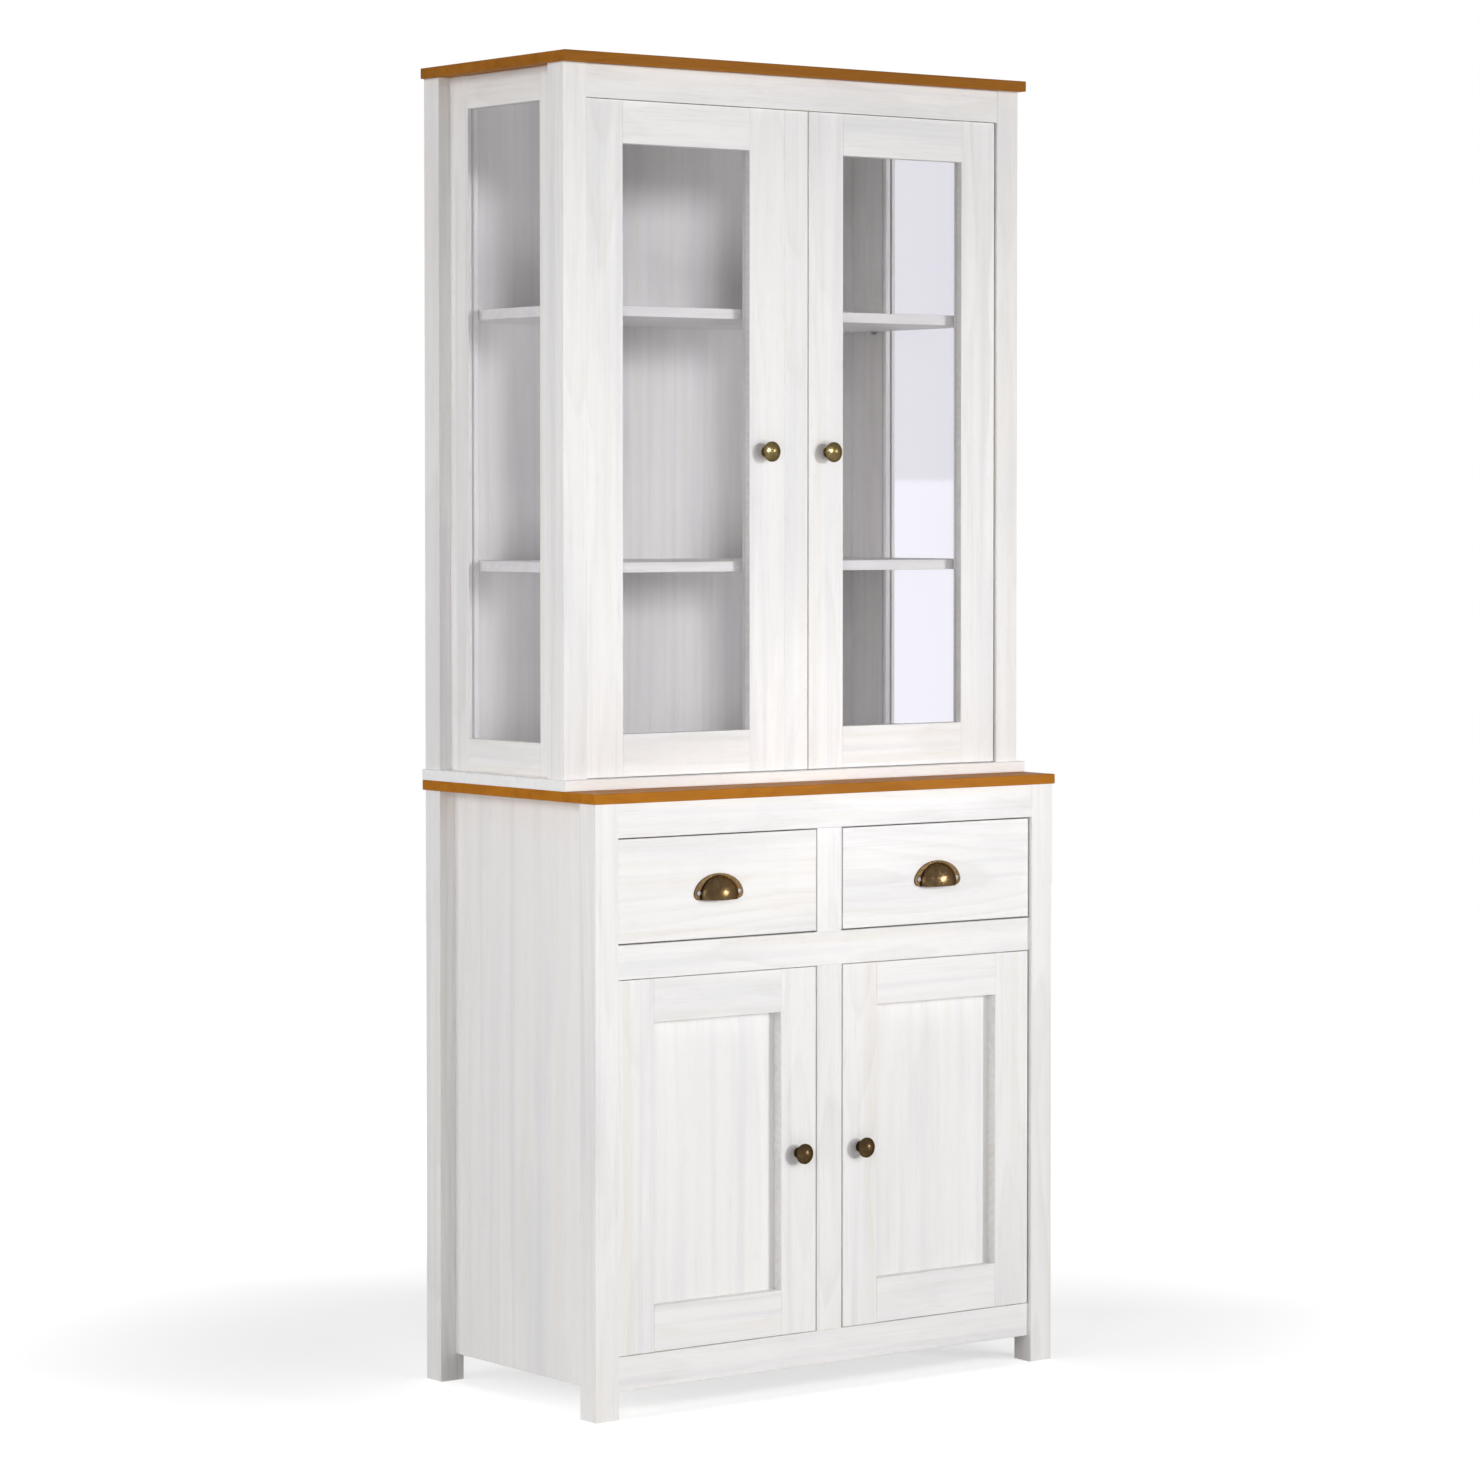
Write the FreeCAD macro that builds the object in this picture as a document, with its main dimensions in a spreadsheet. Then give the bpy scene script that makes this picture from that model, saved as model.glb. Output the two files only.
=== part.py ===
import FreeCAD, Part
import os
import re

import Sketcher

# Dresser with a glazed hutch, in millimetres.
# x = 0 is the middle, y grows towards the wall and z = 0 is the floor.
# The origin is under the middle of the whole outline, from the lower knobs to the back.
# Right is +x.  Left-hand pieces are the right-hand ones mirrored in x = 0.

SIZES = {
    # base cabinet
    "base_width": 900.0,
    "base_depth": 465.0,
    "base_height": 932.8,
    "leg_width": 43.0,
    "leg_depth": 41.0,
    "foot_height": 42.2,
    "rail_width": 52.4,
    "rail_thickness": 22.0,
    "top_rail_setback": 0.6,
    "front_setback": 6.2,
    "front_gap": 2.4,
    "drawer_opening": 162.4,
    "side_thickness": 15.0,
    "centre_stile_width": 48.6,
    "partition_thickness": 15.0,
    "bottom_thickness": 15.0,
    "housing_depth": 5.0,
    "back_thickness": 4.0,
    "back_lap": 8.0,
    "base_shelf_thickness": 15.0,
    "base_shelf_height": 270.0,
    "base_shelf_setback": 60.0,
    # worktop
    "worktop_thickness": 15.7,
    "worktop_side": 3.4,
    "worktop_front": 3.4,
    "worktop_rear": 4.4,
    # hutch
    "hutch_inset": 2.7,
    "hutch_depth": 383.3,
    "hutch_post_height": 1083.9,
    "post_width": 43.0,
    "post_depth": 41.8,
    "hutch_board_side": 6.7,
    "hutch_board_front": 13.5,
    "hutch_base_thickness": 17.0,
    "hutch_top_thickness": 16.6,
    "hutch_rail_width": 51.4,
    "hutch_setback": 4.5,
    "hutch_gap": 2.2,
    "side_member_width": 51.4,
    "side_frame_thickness": 22.2,
    "side_lip": 6.5,
    "shelf_thickness": 16.0,
    "lower_shelf_height": 312.5,
    "upper_shelf_height": 705.0,
    "shelf_front_gap": 2.6,
    "shelf_end_gap": 1.0,
    # doors
    "door_thickness": 22.0,
    "door_end_gap": 1.0,
    "glass_door_stile": 68.4,
    "glass_door_rail": 65.4,
    "glass_door_lip": 12.0,
    "meeting_strip_width": 45.6,
    "cupboard_door_stile": 67.8,
    "cupboard_door_top": 66.6,
    "cupboard_door_bottom": 70.0,
    "panel_thickness": 4.0,
    "glass_thickness": 4.0,
    "glass_ease": 0.5,
    "frame_lap": 8.0,
    "bead_arris": 2.0,
    # joints between boards
    "tenon_thickness": 8.0,
    "tenon_length": 20.0,
    "tenon_shoulder": 12.0,
    "tenon_end_gap": 1.0,
    "tongue_thickness": 6.0,
    "tongue_length": 8.0,
    "joint_ease": 0.1,
    "arris": 0.6,
    "board_round": 1.5,
    # pivot hinges at the ends of each door's hinge stile
    "pivot_inset": 8.0,
    "pivot_setback": 5.5,
    "pivot_radius": 2.5,
    "pivot_ease": 0.08,
    "pivot_plate_length": 45.0,
    "pivot_plate_width": 8.0,
    "pivot_plate_thickness": 2.0,
    "pivot_reach": 4.0,
    "pivot_boss_radius": 4.0,
    "boss_gap": 0.3,
    # magnetic catches
    "catch_width": 40.0,
    "catch_depth": 12.0,
    "catch_rise": 14.0,
    "catch_drop": 16.0,
    "catch_gap": 0.5,
    "catch_clearance": 2.0,
    # shelf pins
    "pin_radius": 2.5,
    "pin_in_wood": 6.0,
    "pin_out": 8.0,
    "pin_inset": 50.0,
    # knobs
    "upper_knob_inset": 37.1,
    "lower_knob_inset": 34.3,
    "upper_knob_height": 499.1,
    "lower_knob_height": 282.0,
    "knob_projection": 25.0,
    "knob_head_radius": 15.75,
    "knob_base_radius": 8.5,
    "knob_foot": 2.5,
    "knob_neck_radius": 12.0,
    "knob_rim": 2.0,
    "knob_dome": 7.5,
    "knob_stud_radius": 2.0,
    "knob_stud_length": 15.0,
    # cup pulls
    "pull_width": 94.0,
    "pull_height": 40.0,
    "pull_drop": 6.0,
    "pull_plate": 1.8,
    "pull_wall": 1.8,
    "pull_dome_width": 70.0,
    "pull_dome_height": 37.0,
    "pull_corner": 9.5,
    "pull_projection": 23.0,
    "pull_hole_spacing": 76.0,
    "pull_hole_height": 11.0,
    "pull_hole_radius": 2.0,
    # drawers
    "drawer_side_gap": 3.0,
    "drawer_wall": 12.0,
    "drawer_box_height": 125.0,
    "drawer_box_lift": 12.0,
    "drawer_back_gap": 37.8,
    "drawer_bottom_thickness": 4.0,
    "drawer_bottom_rise": 10.0,
    "drawer_groove": 5.0,
    "runner_height": 16.0,
    "runner_engagement": 5.5,
    "runner_groove": 6.0,
    "runner_ease": 0.3,
    "runner_end_gap": 1.0,
}

doc = FreeCAD.newDocument("dresser_with_hutch")
sheet = doc.addObject("Spreadsheet::Sheet", "sizes")
for row, (alias, value) in enumerate(SIZES.items(), start=1):
    sheet.set(f"A{row}", alias.replace("_", " "))
    sheet.set(f"B{row}", str(value))
    sheet.setAlias(f"B{row}", alias)
doc.recompute()

corners = {}
nodes = []


def refer(formula):
    """Write a formula's size names as references to the sheet."""
    return re.sub(r"[a-z][a-z_]+", lambda word: "sizes." + word.group(), formula)


def bind(thing, name, formula):
    """Tie a property to a formula."""
    thing.setExpression(name, refer(formula))


def keep(thing):
    """Count an object as a sub-part of the dresser."""
    nodes.append(thing)
    return thing


def new_body(name, corner):
    """Start a body whose own origin stands at the corner."""
    body = doc.addObject("PartDesign::Body", name)
    corners[body.Name] = corner
    for axis, formula in zip("xyz", corner):
        bind(body, "Placement.Base." + axis, formula)
    return body


def locate(body, feature, point):
    """Put a feature of a body at a point of the dresser."""
    for axis, formula, start in zip("xyz", point, corners[body.Name]):
        bind(feature, "Placement.Base." + axis, f"({formula}) - ({start})")


def block(body, kind, x, y, z):
    """Add or subtract a block that spans the three ranges."""
    feature = body.newObject("PartDesign::" + kind + "Box", body.Name + "_block")
    for name, (low, high) in (("Length", x), ("Width", y), ("Height", z)):
        bind(feature, name, f"({high}) - ({low})")
    locate(body, feature, (x[0], y[0], z[0]))
    return feature


def rod(body, kind, point, radius, length, axis="z"):
    """Add or subtract a cylinder that starts at the point and runs along +axis."""
    feature = body.newObject("PartDesign::" + kind + "Cylinder", body.Name + "_rod")
    bind(feature, "Radius", radius)
    bind(feature, "Height", length)
    if axis == "x":
        feature.Placement.Rotation = FreeCAD.Rotation(FreeCAD.Vector(0, 1, 0), 90)
    if axis == "y":
        feature.Placement.Rotation = FreeCAD.Rotation(FreeCAD.Vector(1, 0, 0), -90)
    locate(body, feature, point)
    return feature


def ease(body, feature, axis, size="arris"):
    """Take the arrises off the four edges of a blank that run along an axis."""
    doc.recompute()
    along = {"x": FreeCAD.Vector(1, 0, 0), "y": FreeCAD.Vector(0, 1, 0), "z": FreeCAD.Vector(0, 0, 1)}[axis]
    names = []
    for number, edge in enumerate(feature.Shape.Edges, start=1):
        ends = edge.Vertexes
        run = ends[-1].Point - ends[0].Point
        if abs(run.normalize().dot(along)) > 0.999:
            names.append(f"Edge{number}")
    chamfer = body.newObject("PartDesign::Chamfer", body.Name + "_arrises")
    chamfer.Base = (feature, names)
    bind(chamfer, "Size", size)
    return chamfer


def board(name, x, y, z, grain):
    """A plain board with eased edges along its grain."""
    body = new_body(name, (x[0], y[0], z[0]))
    blank = block(body, "Additive", x, y, z)
    ease(body, blank, grain)
    return body


def rounded_board(name, x, y, z):
    """A top with all its edges slightly rounded."""
    body = new_body(name, (x[0], y[0], z[0]))
    blank = block(body, "Additive", x, y, z)
    doc.recompute()
    fillet = body.newObject("PartDesign::Fillet", name + "_edges")
    fillet.Base = (blank, [""])
    fillet.UseAllEdges = True
    bind(fillet, "Radius", "board_round")
    return body


def outline(body, role, points, guesses, arcs=()):
    """A closed sketch on one of the body's own planes, through the given points.

    arcs maps the number of a side to its radius and a guess at its centre.
    """
    sketch = body.newObject("Sketcher::SketchObject", body.Name + "_outline")
    plane = next(item for item in body.Origin.OriginFeatures if item.Role == role)
    sketch.AttachmentSupport = [(plane, "")]
    sketch.MapMode = "FlatFace"
    arcs = dict(arcs)
    ends = [FreeCAD.Vector(u, v, 0) for u, v in guesses]
    starts = []
    for side, start in enumerate(ends):
        end = ends[(side + 1) % len(ends)]
        if side in arcs:
            centre = FreeCAD.Vector(*arcs[side][1], 0)
            middle = centre + ((start + end) / 2 - centre).normalize() * (start - centre).Length
            sketch.addGeometry(Part.Arc(start, middle, end))
        else:
            sketch.addGeometry(Part.LineSegment(start, end))
        first = sketch.getPoint(side, 1)
        starts.append(1 if (first - start).Length < (first - end).Length else 2)
    for side in range(len(ends)):
        following = (side + 1) % len(ends)
        joint = Sketcher.Constraint("Coincident", side, 3 - starts[side], following, starts[following])
        sketch.addConstraint(joint)
    for side, point in enumerate(points):
        for kind, formula, guess in zip(("DistanceX", "DistanceY"), point, guesses[side]):
            constraint = Sketcher.Constraint(kind, -1, 1, side, starts[side], float(guess))
            number = sketch.addConstraint(constraint)
            bind(sketch, f"Constraints[{number}]", formula)
    for side, (radius, centre) in arcs.items():
        size = (ends[side] - FreeCAD.Vector(*centre, 0)).Length
        number = sketch.addConstraint(Sketcher.Constraint("Radius", side, size))
        bind(sketch, f"Constraints[{number}]", radius)
    return sketch


def extrusion(name, role, corner, points, length):
    """A body whose section is the given polygon, extruded along the positive axis."""
    body = new_body(name, corner)
    ring = [(10.0 * n, 10.0 * n * n) for n in range(len(points))]
    pad = body.newObject("PartDesign::Pad", name + "_pad")
    pad.Profile = outline(body, role, points, ring)
    bind(pad, "Length", length)
    pad.Reversed = role == "XZ_Plane"
    return body


def mirrored(name, source):
    """The left-hand copy of a right-hand piece."""
    copy = doc.addObject("Part::Mirroring", name)
    copy.Source = source
    copy.Normal = FreeCAD.Vector(1, 0, 0)
    return copy


def group(name, members):
    """Separate solids that share one sub-part."""
    compound = doc.addObject("Part::Compound", name)
    compound.Links = members
    return compound


def both_sides(name, source):
    """A right-hand piece and its left-hand copy in one sub-part."""
    return group(name, [source, mirrored(name + "_left", source)])


def grown(span, amount):
    """A range with an allowance added at both ends."""
    return (f"({span[0]} - {amount})", f"({span[1]} + {amount})")


# Places across the dresser.
LEG_OUT = "(base_width / 2)"
LEG_IN = f"({LEG_OUT} - leg_width)"
POST_OUT = f"({LEG_OUT} - hutch_inset)"
POST_IN = f"({POST_OUT} - post_width)"
CENTRE = "(centre_stile_width / 2)"
PARTITION = "(partition_thickness / 2)"
LEG_X = (LEG_IN, LEG_OUT)
POST_X = (POST_IN, POST_OUT)
FRONT_X = (f"({CENTRE} + front_gap)", f"({LEG_IN} - front_gap)")

# Places from front to back.
FRONT = "((knob_projection - front_setback - base_depth - worktop_rear) / 2)"
FACE = f"({FRONT} + front_setback)"
RAIL_BACK = f"({FACE} + rail_thickness)"
REAR = f"({FRONT} + base_depth)"
BACK_FACE = f"({REAR} - back_thickness)"
WALL = f"({REAR} + worktop_rear)"
LEG_BACK = f"({FRONT} + leg_depth)"
REAR_LEG = f"({REAR} - leg_depth)"
POST_FRONT = f"({WALL} - hutch_depth)"
POST_BACK = f"({POST_FRONT} + post_depth)"
REAR_POST = f"({WALL} - post_depth)"
TOP_RAIL_Y = f"({FRONT} + top_rail_setback)"
HUTCH_RAIL_Y = f"({POST_FRONT} + top_rail_setback)"
HUTCH_RAIL_BACK = f"({HUTCH_RAIL_Y} + rail_thickness)"
HUTCH_FACE = f"({POST_FRONT} + hutch_setback)"
HUTCH_DOOR_BACK = f"({HUTCH_FACE} + door_thickness)"
HUTCH_BACK_FACE = f"({WALL} - back_thickness)"

# Heights.
BOTTOM_TOP = "(foot_height + rail_width)"
TOP_RAIL_LOW = "(base_height - rail_width)"
DRAWER_LOW = f"({TOP_RAIL_LOW} - drawer_opening)"
DOOR_HIGH = f"({DRAWER_LOW} - rail_width)"
WORKTOP_TOP = "(base_height + worktop_thickness)"
HUTCH_LOW = f"({WORKTOP_TOP} + hutch_base_thickness)"
HUTCH_HIGH = f"({HUTCH_LOW} + hutch_post_height)"
HUTCH_TOP = f"({HUTCH_HIGH} + hutch_top_thickness)"
HUTCH_RAIL_LOW = f"({HUTCH_HIGH} - hutch_rail_width)"
LEG_Z = ("0", "base_height")
POST_Z = (HUTCH_LOW, HUTCH_HIGH)

# Heights of the rails that are tenoned into the legs and posts.
TOP_RAIL_Z = (TOP_RAIL_LOW, "base_height")
MID_RAIL_Z = (DOOR_HIGH, DRAWER_LOW)
BOTTOM_RAIL_Z = ("foot_height", BOTTOM_TOP)
HUTCH_RAIL_Z = (HUTCH_RAIL_LOW, HUTCH_HIGH)


def tenon_y(rail_y):
    """The tenon's place in the thickness of a rail."""
    return (f"({rail_y} + (rail_thickness - tenon_thickness) / 2)",
            f"({rail_y} + (rail_thickness + tenon_thickness) / 2)")


def tenon_z(rail_z):
    """The tenon's place in the width of a rail."""
    return (f"({rail_z[0]} + tenon_shoulder)", f"({rail_z[1]} - tenon_shoulder)")


def mortise(body, face, rail_y, rail_z):
    """The mortise for a rail in the inner face of a right-hand leg or post."""
    depth = f"({face} + tenon_length + tenon_end_gap)"
    block(body, "Subtractive", (face, depth), grown(tenon_y(rail_y), "joint_ease"),
          grown(tenon_z(rail_z), "joint_ease"))


def rail(name, half, rail_y, rail_z):
    """A rail between two legs or posts, with a stub tenon at each end."""
    body = board(name, (f"(-{half})", half), (rail_y, f"({rail_y} + rail_thickness)"), rail_z, "x")
    reach = f"({half} + tenon_length)"
    block(body, "Additive", (f"(-{reach})", reach), tenon_y(rail_y), tenon_z(rail_z))
    return body


# The side panel is let into grooves in the legs.
SIDE_X = (LEG_IN, f"({LEG_IN} + side_thickness)")
SIDE_Z = ("foot_height", "base_height")
TONGUE_X = (f"({LEG_IN} + (side_thickness - tongue_thickness) / 2)",
            f"({LEG_IN} + (side_thickness + tongue_thickness) / 2)")
GROOVE_X = grown(TONGUE_X, "joint_ease")
GROOVE_Z = ("(foot_height - joint_ease)", "(base_height + 1)")

front_leg = board("front_leg_right", LEG_X, (FRONT, LEG_BACK), LEG_Z, "z")
mortise(front_leg, LEG_IN, TOP_RAIL_Y, TOP_RAIL_Z)
mortise(front_leg, LEG_IN, FACE, MID_RAIL_Z)
mortise(front_leg, LEG_IN, FACE, BOTTOM_RAIL_Z)
block(front_leg, "Subtractive", GROOVE_X,
      (f"({LEG_BACK} - tongue_length - tenon_end_gap)", f"({LEG_BACK} + 1)"), GROOVE_Z)
keep(front_leg)
keep(mirrored("front_leg_left", front_leg))

rear_leg = board("rear_leg_right", LEG_X, (REAR_LEG, REAR), LEG_Z, "z")
block(rear_leg, "Subtractive", GROOVE_X,
      (f"({REAR_LEG} - 1)", f"({REAR_LEG} + tongue_length + tenon_end_gap)"), GROOVE_Z)
block(rear_leg, "Subtractive", (f"({LEG_IN} - 1)", f"({LEG_IN} + back_lap)"),
      (BACK_FACE, f"({REAR} + 1)"), GROOVE_Z)
keep(both_sides("rear_legs", rear_leg))

side = board("base_side_right", SIDE_X, (LEG_BACK, REAR_LEG), SIDE_Z, "y")
block(side, "Additive", TONGUE_X,
      (f"({LEG_BACK} - tongue_length)", f"({REAR_LEG} + tongue_length)"), SIDE_Z)

# Each half of the base holds one shelf on four pins.
BASE_SHELF_LOW = f"({BOTTOM_TOP} + base_shelf_height)"
BASE_SHELF_X = (f"({PARTITION} + shelf_end_gap)", f"({LEG_IN} - shelf_end_gap)")
BASE_SHELF_Y = (f"({RAIL_BACK} + base_shelf_setback)", f"({BACK_FACE} - shelf_end_gap)")
BASE_PIN_Y = (f"({BASE_SHELF_Y[0]} + pin_inset)", f"({BASE_SHELF_Y[1]} - pin_inset)")
HOLE_RADIUS = "(pin_radius + joint_ease)"
HOLE_DEPTH = "(pin_in_wood + joint_ease)"
PIN_LENGTH = "(pin_in_wood + pin_out)"


def pin_height(shelf_low):
    """The height of the pins' axes under a shelf."""
    return f"({shelf_low} - pin_radius - joint_ease)"


def shelf_pin(name, wall, y, shelf_low, side_of):
    """A pin in a wall at x = wall; side_of is + where the shelf lies on the +x side."""
    start = f"({wall} - pin_in_wood)" if side_of == "+" else f"({wall} - pin_out)"
    body = new_body(name, (start, y, pin_height(shelf_low)))
    rod(body, "Additive", (start, y, pin_height(shelf_low)), "pin_radius", PIN_LENGTH, "x")
    return body


pins = []
for number, y in enumerate(BASE_PIN_Y):
    rod(side, "Subtractive", (LEG_IN, y, pin_height(BASE_SHELF_LOW)), HOLE_RADIUS, HOLE_DEPTH, "x")
    pins.append(shelf_pin(f"base_pin_outer_{number}", LEG_IN, y, BASE_SHELF_LOW, "-"))
    pins.append(shelf_pin(f"base_pin_inner_{number}", PARTITION, y, BASE_SHELF_LOW, "+"))
keep(side)
keep(mirrored("base_side_left", side))

# Rails and stiles of the base's front.
keep(rail("base_top_rail", LEG_IN, TOP_RAIL_Y, TOP_RAIL_Z))
mid_rail = rail("base_mid_rail", LEG_IN, FACE, MID_RAIL_Z)
bottom_rail = rail("base_bottom_rail", LEG_IN, FACE, BOTTOM_RAIL_Z)
STILE_X = (f"(-{CENTRE})", CENTRE)
upper_stile = board("centre_stile_upper", STILE_X, (FACE, RAIL_BACK), (DRAWER_LOW, TOP_RAIL_LOW), "z")
lower_stile = board("centre_stile_lower", STILE_X, (FACE, RAIL_BACK), (BOTTOM_TOP, DOOR_HIGH), "z")
keep(group("centre_stiles", [upper_stile, lower_stile]))

# Bottom, partition, back and shelves of the base.
bottom = board("base_bottom", (f"(-{LEG_IN})", LEG_IN), (RAIL_BACK, BACK_FACE),
               (f"({BOTTOM_TOP} - bottom_thickness)", BOTTOM_TOP), "x")
block(bottom, "Subtractive", grown((f"(-{PARTITION})", PARTITION), "joint_ease"),
      (f"({RAIL_BACK} - 1)", f"({BACK_FACE} + 1)"),
      (f"({BOTTOM_TOP} - housing_depth)", f"({BOTTOM_TOP} + 1)"))
keep(bottom)

partition = board("base_partition", (f"(-{PARTITION})", PARTITION), (RAIL_BACK, BACK_FACE),
                  (f"({BOTTOM_TOP} - housing_depth)", "base_height"), "y")
for y in BASE_PIN_Y:
    for start in (f"({PARTITION} - {HOLE_DEPTH})", f"(-{PARTITION})"):
        rod(partition, "Subtractive", (start, y, pin_height(BASE_SHELF_LOW)),
            HOLE_RADIUS, HOLE_DEPTH, "x")
keep(partition)

BACK_HALF = f"({LEG_IN} + back_lap - joint_ease)"
keep(board("base_back", (f"(-{BACK_HALF})", BACK_HALF), (BACK_FACE, REAR), SIDE_Z, "z"))

base_shelf = board("base_shelf_right", BASE_SHELF_X, BASE_SHELF_Y,
                   (BASE_SHELF_LOW, f"({BASE_SHELF_LOW} + base_shelf_thickness)"), "x")
keep(both_sides("base_shelves", base_shelf))

# Wooden runners for the drawers, on the sides and on the partition.
BOX_LOW = f"({DRAWER_LOW} + drawer_box_lift)"
BOX_HIGH = f"({BOX_LOW} + drawer_box_height)"
BOX_X = (f"({CENTRE} + drawer_side_gap)", f"({LEG_IN} - drawer_side_gap)")
RUNNER_Z = (f"({BOX_LOW} + (drawer_box_height - runner_height) / 2)",
            f"({BOX_LOW} + (drawer_box_height + runner_height) / 2)")
RUNNER_Y = (f"({RAIL_BACK} + runner_end_gap)", f"({BACK_FACE} - runner_end_gap)")
outer_runner = board("runner_outer", (f"({BOX_X[1]} - runner_engagement)", LEG_IN),
                     RUNNER_Y, RUNNER_Z, "y")
inner_runner = board("runner_inner", (PARTITION, f"({BOX_X[0]} + runner_engagement)"),
                     RUNNER_Y, RUNNER_Z, "y")
right_runners = group("runners_right", [outer_runner, inner_runner])
keep(both_sides("drawer_runners", right_runners))

# Stained top of the base.
TOP_HALF = f"({LEG_OUT} + worktop_side)"
keep(rounded_board("worktop", (f"(-{TOP_HALF})", TOP_HALF), (f"({FRONT} - worktop_front)", WALL),
                   ("base_height", WORKTOP_TOP)))

# Boards and posts of the hutch.
BOARD_HALF = f"({POST_OUT} + hutch_board_side)"
BOARD_X = (f"(-{BOARD_HALF})", BOARD_HALF)
BOARD_Y = (f"({POST_FRONT} - hutch_board_front)", WALL)
hutch_base = rounded_board("hutch_base_board", BOARD_X, BOARD_Y, (WORKTOP_TOP, HUTCH_LOW))
keep(rounded_board("hutch_top_board", BOARD_X, BOARD_Y, (HUTCH_HIGH, HUTCH_TOP)))

front_post = board("front_post_right", POST_X, (POST_FRONT, POST_BACK), POST_Z, "z")
mortise(front_post, POST_IN, HUTCH_RAIL_Y, HUTCH_RAIL_Z)
keep(front_post)
keep(mirrored("front_post_left", front_post))

rear_post = board("rear_post_right", POST_X, (REAR_POST, WALL), POST_Z, "z")
block(rear_post, "Subtractive", (f"({POST_IN} - 1)", f"({POST_IN} + back_lap)"),
      (HUTCH_BACK_FACE, f"({WALL} + 1)"), (f"({HUTCH_LOW} - 1)", f"({HUTCH_HIGH} + 1)"))
keep(both_sides("rear_posts", rear_post))

hutch_rail = rail("hutch_top_rail", POST_IN, HUTCH_RAIL_Y, HUTCH_RAIL_Z)
HUTCH_BACK_HALF = f"({POST_IN} + back_lap - joint_ease)"
keep(board("hutch_back", (f"(-{HUTCH_BACK_HALF})", HUTCH_BACK_HALF), (HUTCH_BACK_FACE, WALL),
           POST_Z, "z"))


# A frame is four members round a pane: two stiles and two rails, rebated behind.
# Its members are placed by u across the frame, v from its show face inwards, and height.
def door_at(face):
    """Placing of a frame whose show face looks to the front."""
    return lambda u, v, z: (u, (f"({face} + {v[0]})", f"({face} + {v[1]})"), z)


def side_at(face):
    """Placing of a frame whose show face looks to the right."""
    return lambda u, v, z: ((f"({face} - {v[1]})", f"({face} - {v[0]})"), u, z)


def frame(name, at, across, u, z, stile, top, low, depth, lip):
    """Stiles and rails with stub tenons and a rebate behind the lip."""
    inner = (f"({u[0]} + {stile})", f"({u[1]} - {stile})")
    wide = grown(inner, "frame_lap")
    back = (lip, depth)
    tenon_v = (f"(({depth} - tenon_thickness) / 2)", f"(({depth} + tenon_thickness) / 2)")
    rails = {"top": (f"({z[1]} - {top})", z[1]), "low": (z[0], f"({z[0]} + {low})")}
    members = []
    sides = (("near", (u[0], inner[0]), (wide[0], f"({inner[0]} + 1)"),
              (f"({inner[0]} - tenon_length - tenon_end_gap)", f"({inner[0]} + 1)")),
             ("far", (inner[1], u[1]), (f"({inner[1]} - 1)", wide[1]),
              (f"({inner[1]} - 1)", f"({inner[1]} + tenon_length + tenon_end_gap)")))
    for end, span, rebate, socket in sides:
        stile_body = board(f"{name}_{end}_stile", *at(span, ("0", depth), z), "z")
        block(stile_body, "Subtractive",
              *at(rebate, (lip, f"({depth} + 1)"), (f"({z[0]} - 1)", f"({z[1]} + 1)")))
        for rail_z in rails.values():
            block(stile_body, "Subtractive",
                  *at(socket, grown(tenon_v, "joint_ease"), grown(tenon_z(rail_z), "joint_ease")))
        members.append(stile_body)
    for end, rail_z in rails.items():
        rail_body = board(f"{name}_{end}_rail", *at(inner, ("0", depth), rail_z), across)
        if end == "top":
            rebate = (f"({rail_z[0]} - 1)", f"({rail_z[0]} + frame_lap)")
            solid = (rebate[1], rail_z[1])
        else:
            rebate = (f"({rail_z[1]} - frame_lap)", f"({rail_z[1]} + 1)")
            solid = (rail_z[0], rebate[0])
        block(rail_body, "Subtractive",
              *at(grown(inner, "1"), (lip, f"({depth} + 1)"), rebate))
        block(rail_body, "Additive", *at(grown(inner, "(frame_lap - joint_ease)"), back, solid))
        block(rail_body, "Additive", *at(grown(inner, "tenon_length"), tenon_v, tenon_z(rail_z)))
        members.append(rail_body)
    return members


def pane(name, at, u, z, stile, top, low, lip, thickness, clearance):
    """The sheet that lies in the rebate of a frame."""
    body_u = (f"({u[0]} + {stile} - frame_lap + {clearance})",
              f"({u[1]} - {stile} + frame_lap - {clearance})")
    body_z = (f"({z[0]} + {low} - frame_lap + {clearance})",
              f"({z[1]} - {top} + frame_lap - {clearance})")
    x, y, height = at(body_u, (lip, f"({lip} + {thickness})"), body_z)
    body = new_body(name, (x[0], y[0], height[0]))
    block(body, "Additive", x, y, height)
    return body


def beads(name, at, across, u, z, stile, top, low, depth, lip):
    """Four beads that hold the glass in the rebate."""
    inner = (f"({u[0]} + {stile})", f"({u[1]} - {stile})")
    wide = grown(inner, "frame_lap")
    inner_z = (f"({z[0]} + {low})", f"({z[1]} - {top})")
    wide_z = grown(inner_z, "frame_lap")
    v = (f"({lip} + glass_thickness)", depth)
    strips = (("near", (wide[0], inner[0]), wide_z, "z"), ("far", (inner[1], wide[1]), wide_z, "z"),
              ("top", inner, (inner_z[1], wide_z[1]), across),
              ("low", inner, (wide_z[0], inner_z[0]), across))
    members = []
    for end, span, height, grain in strips:
        x, y, upright = at(span, v, height)
        body = new_body(f"{name}_{end}", (x[0], y[0], upright[0]))
        ease(body, block(body, "Additive", x, y, upright), grain, "bead_arris")
        members.append(body)
    return group(name, members)


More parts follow.
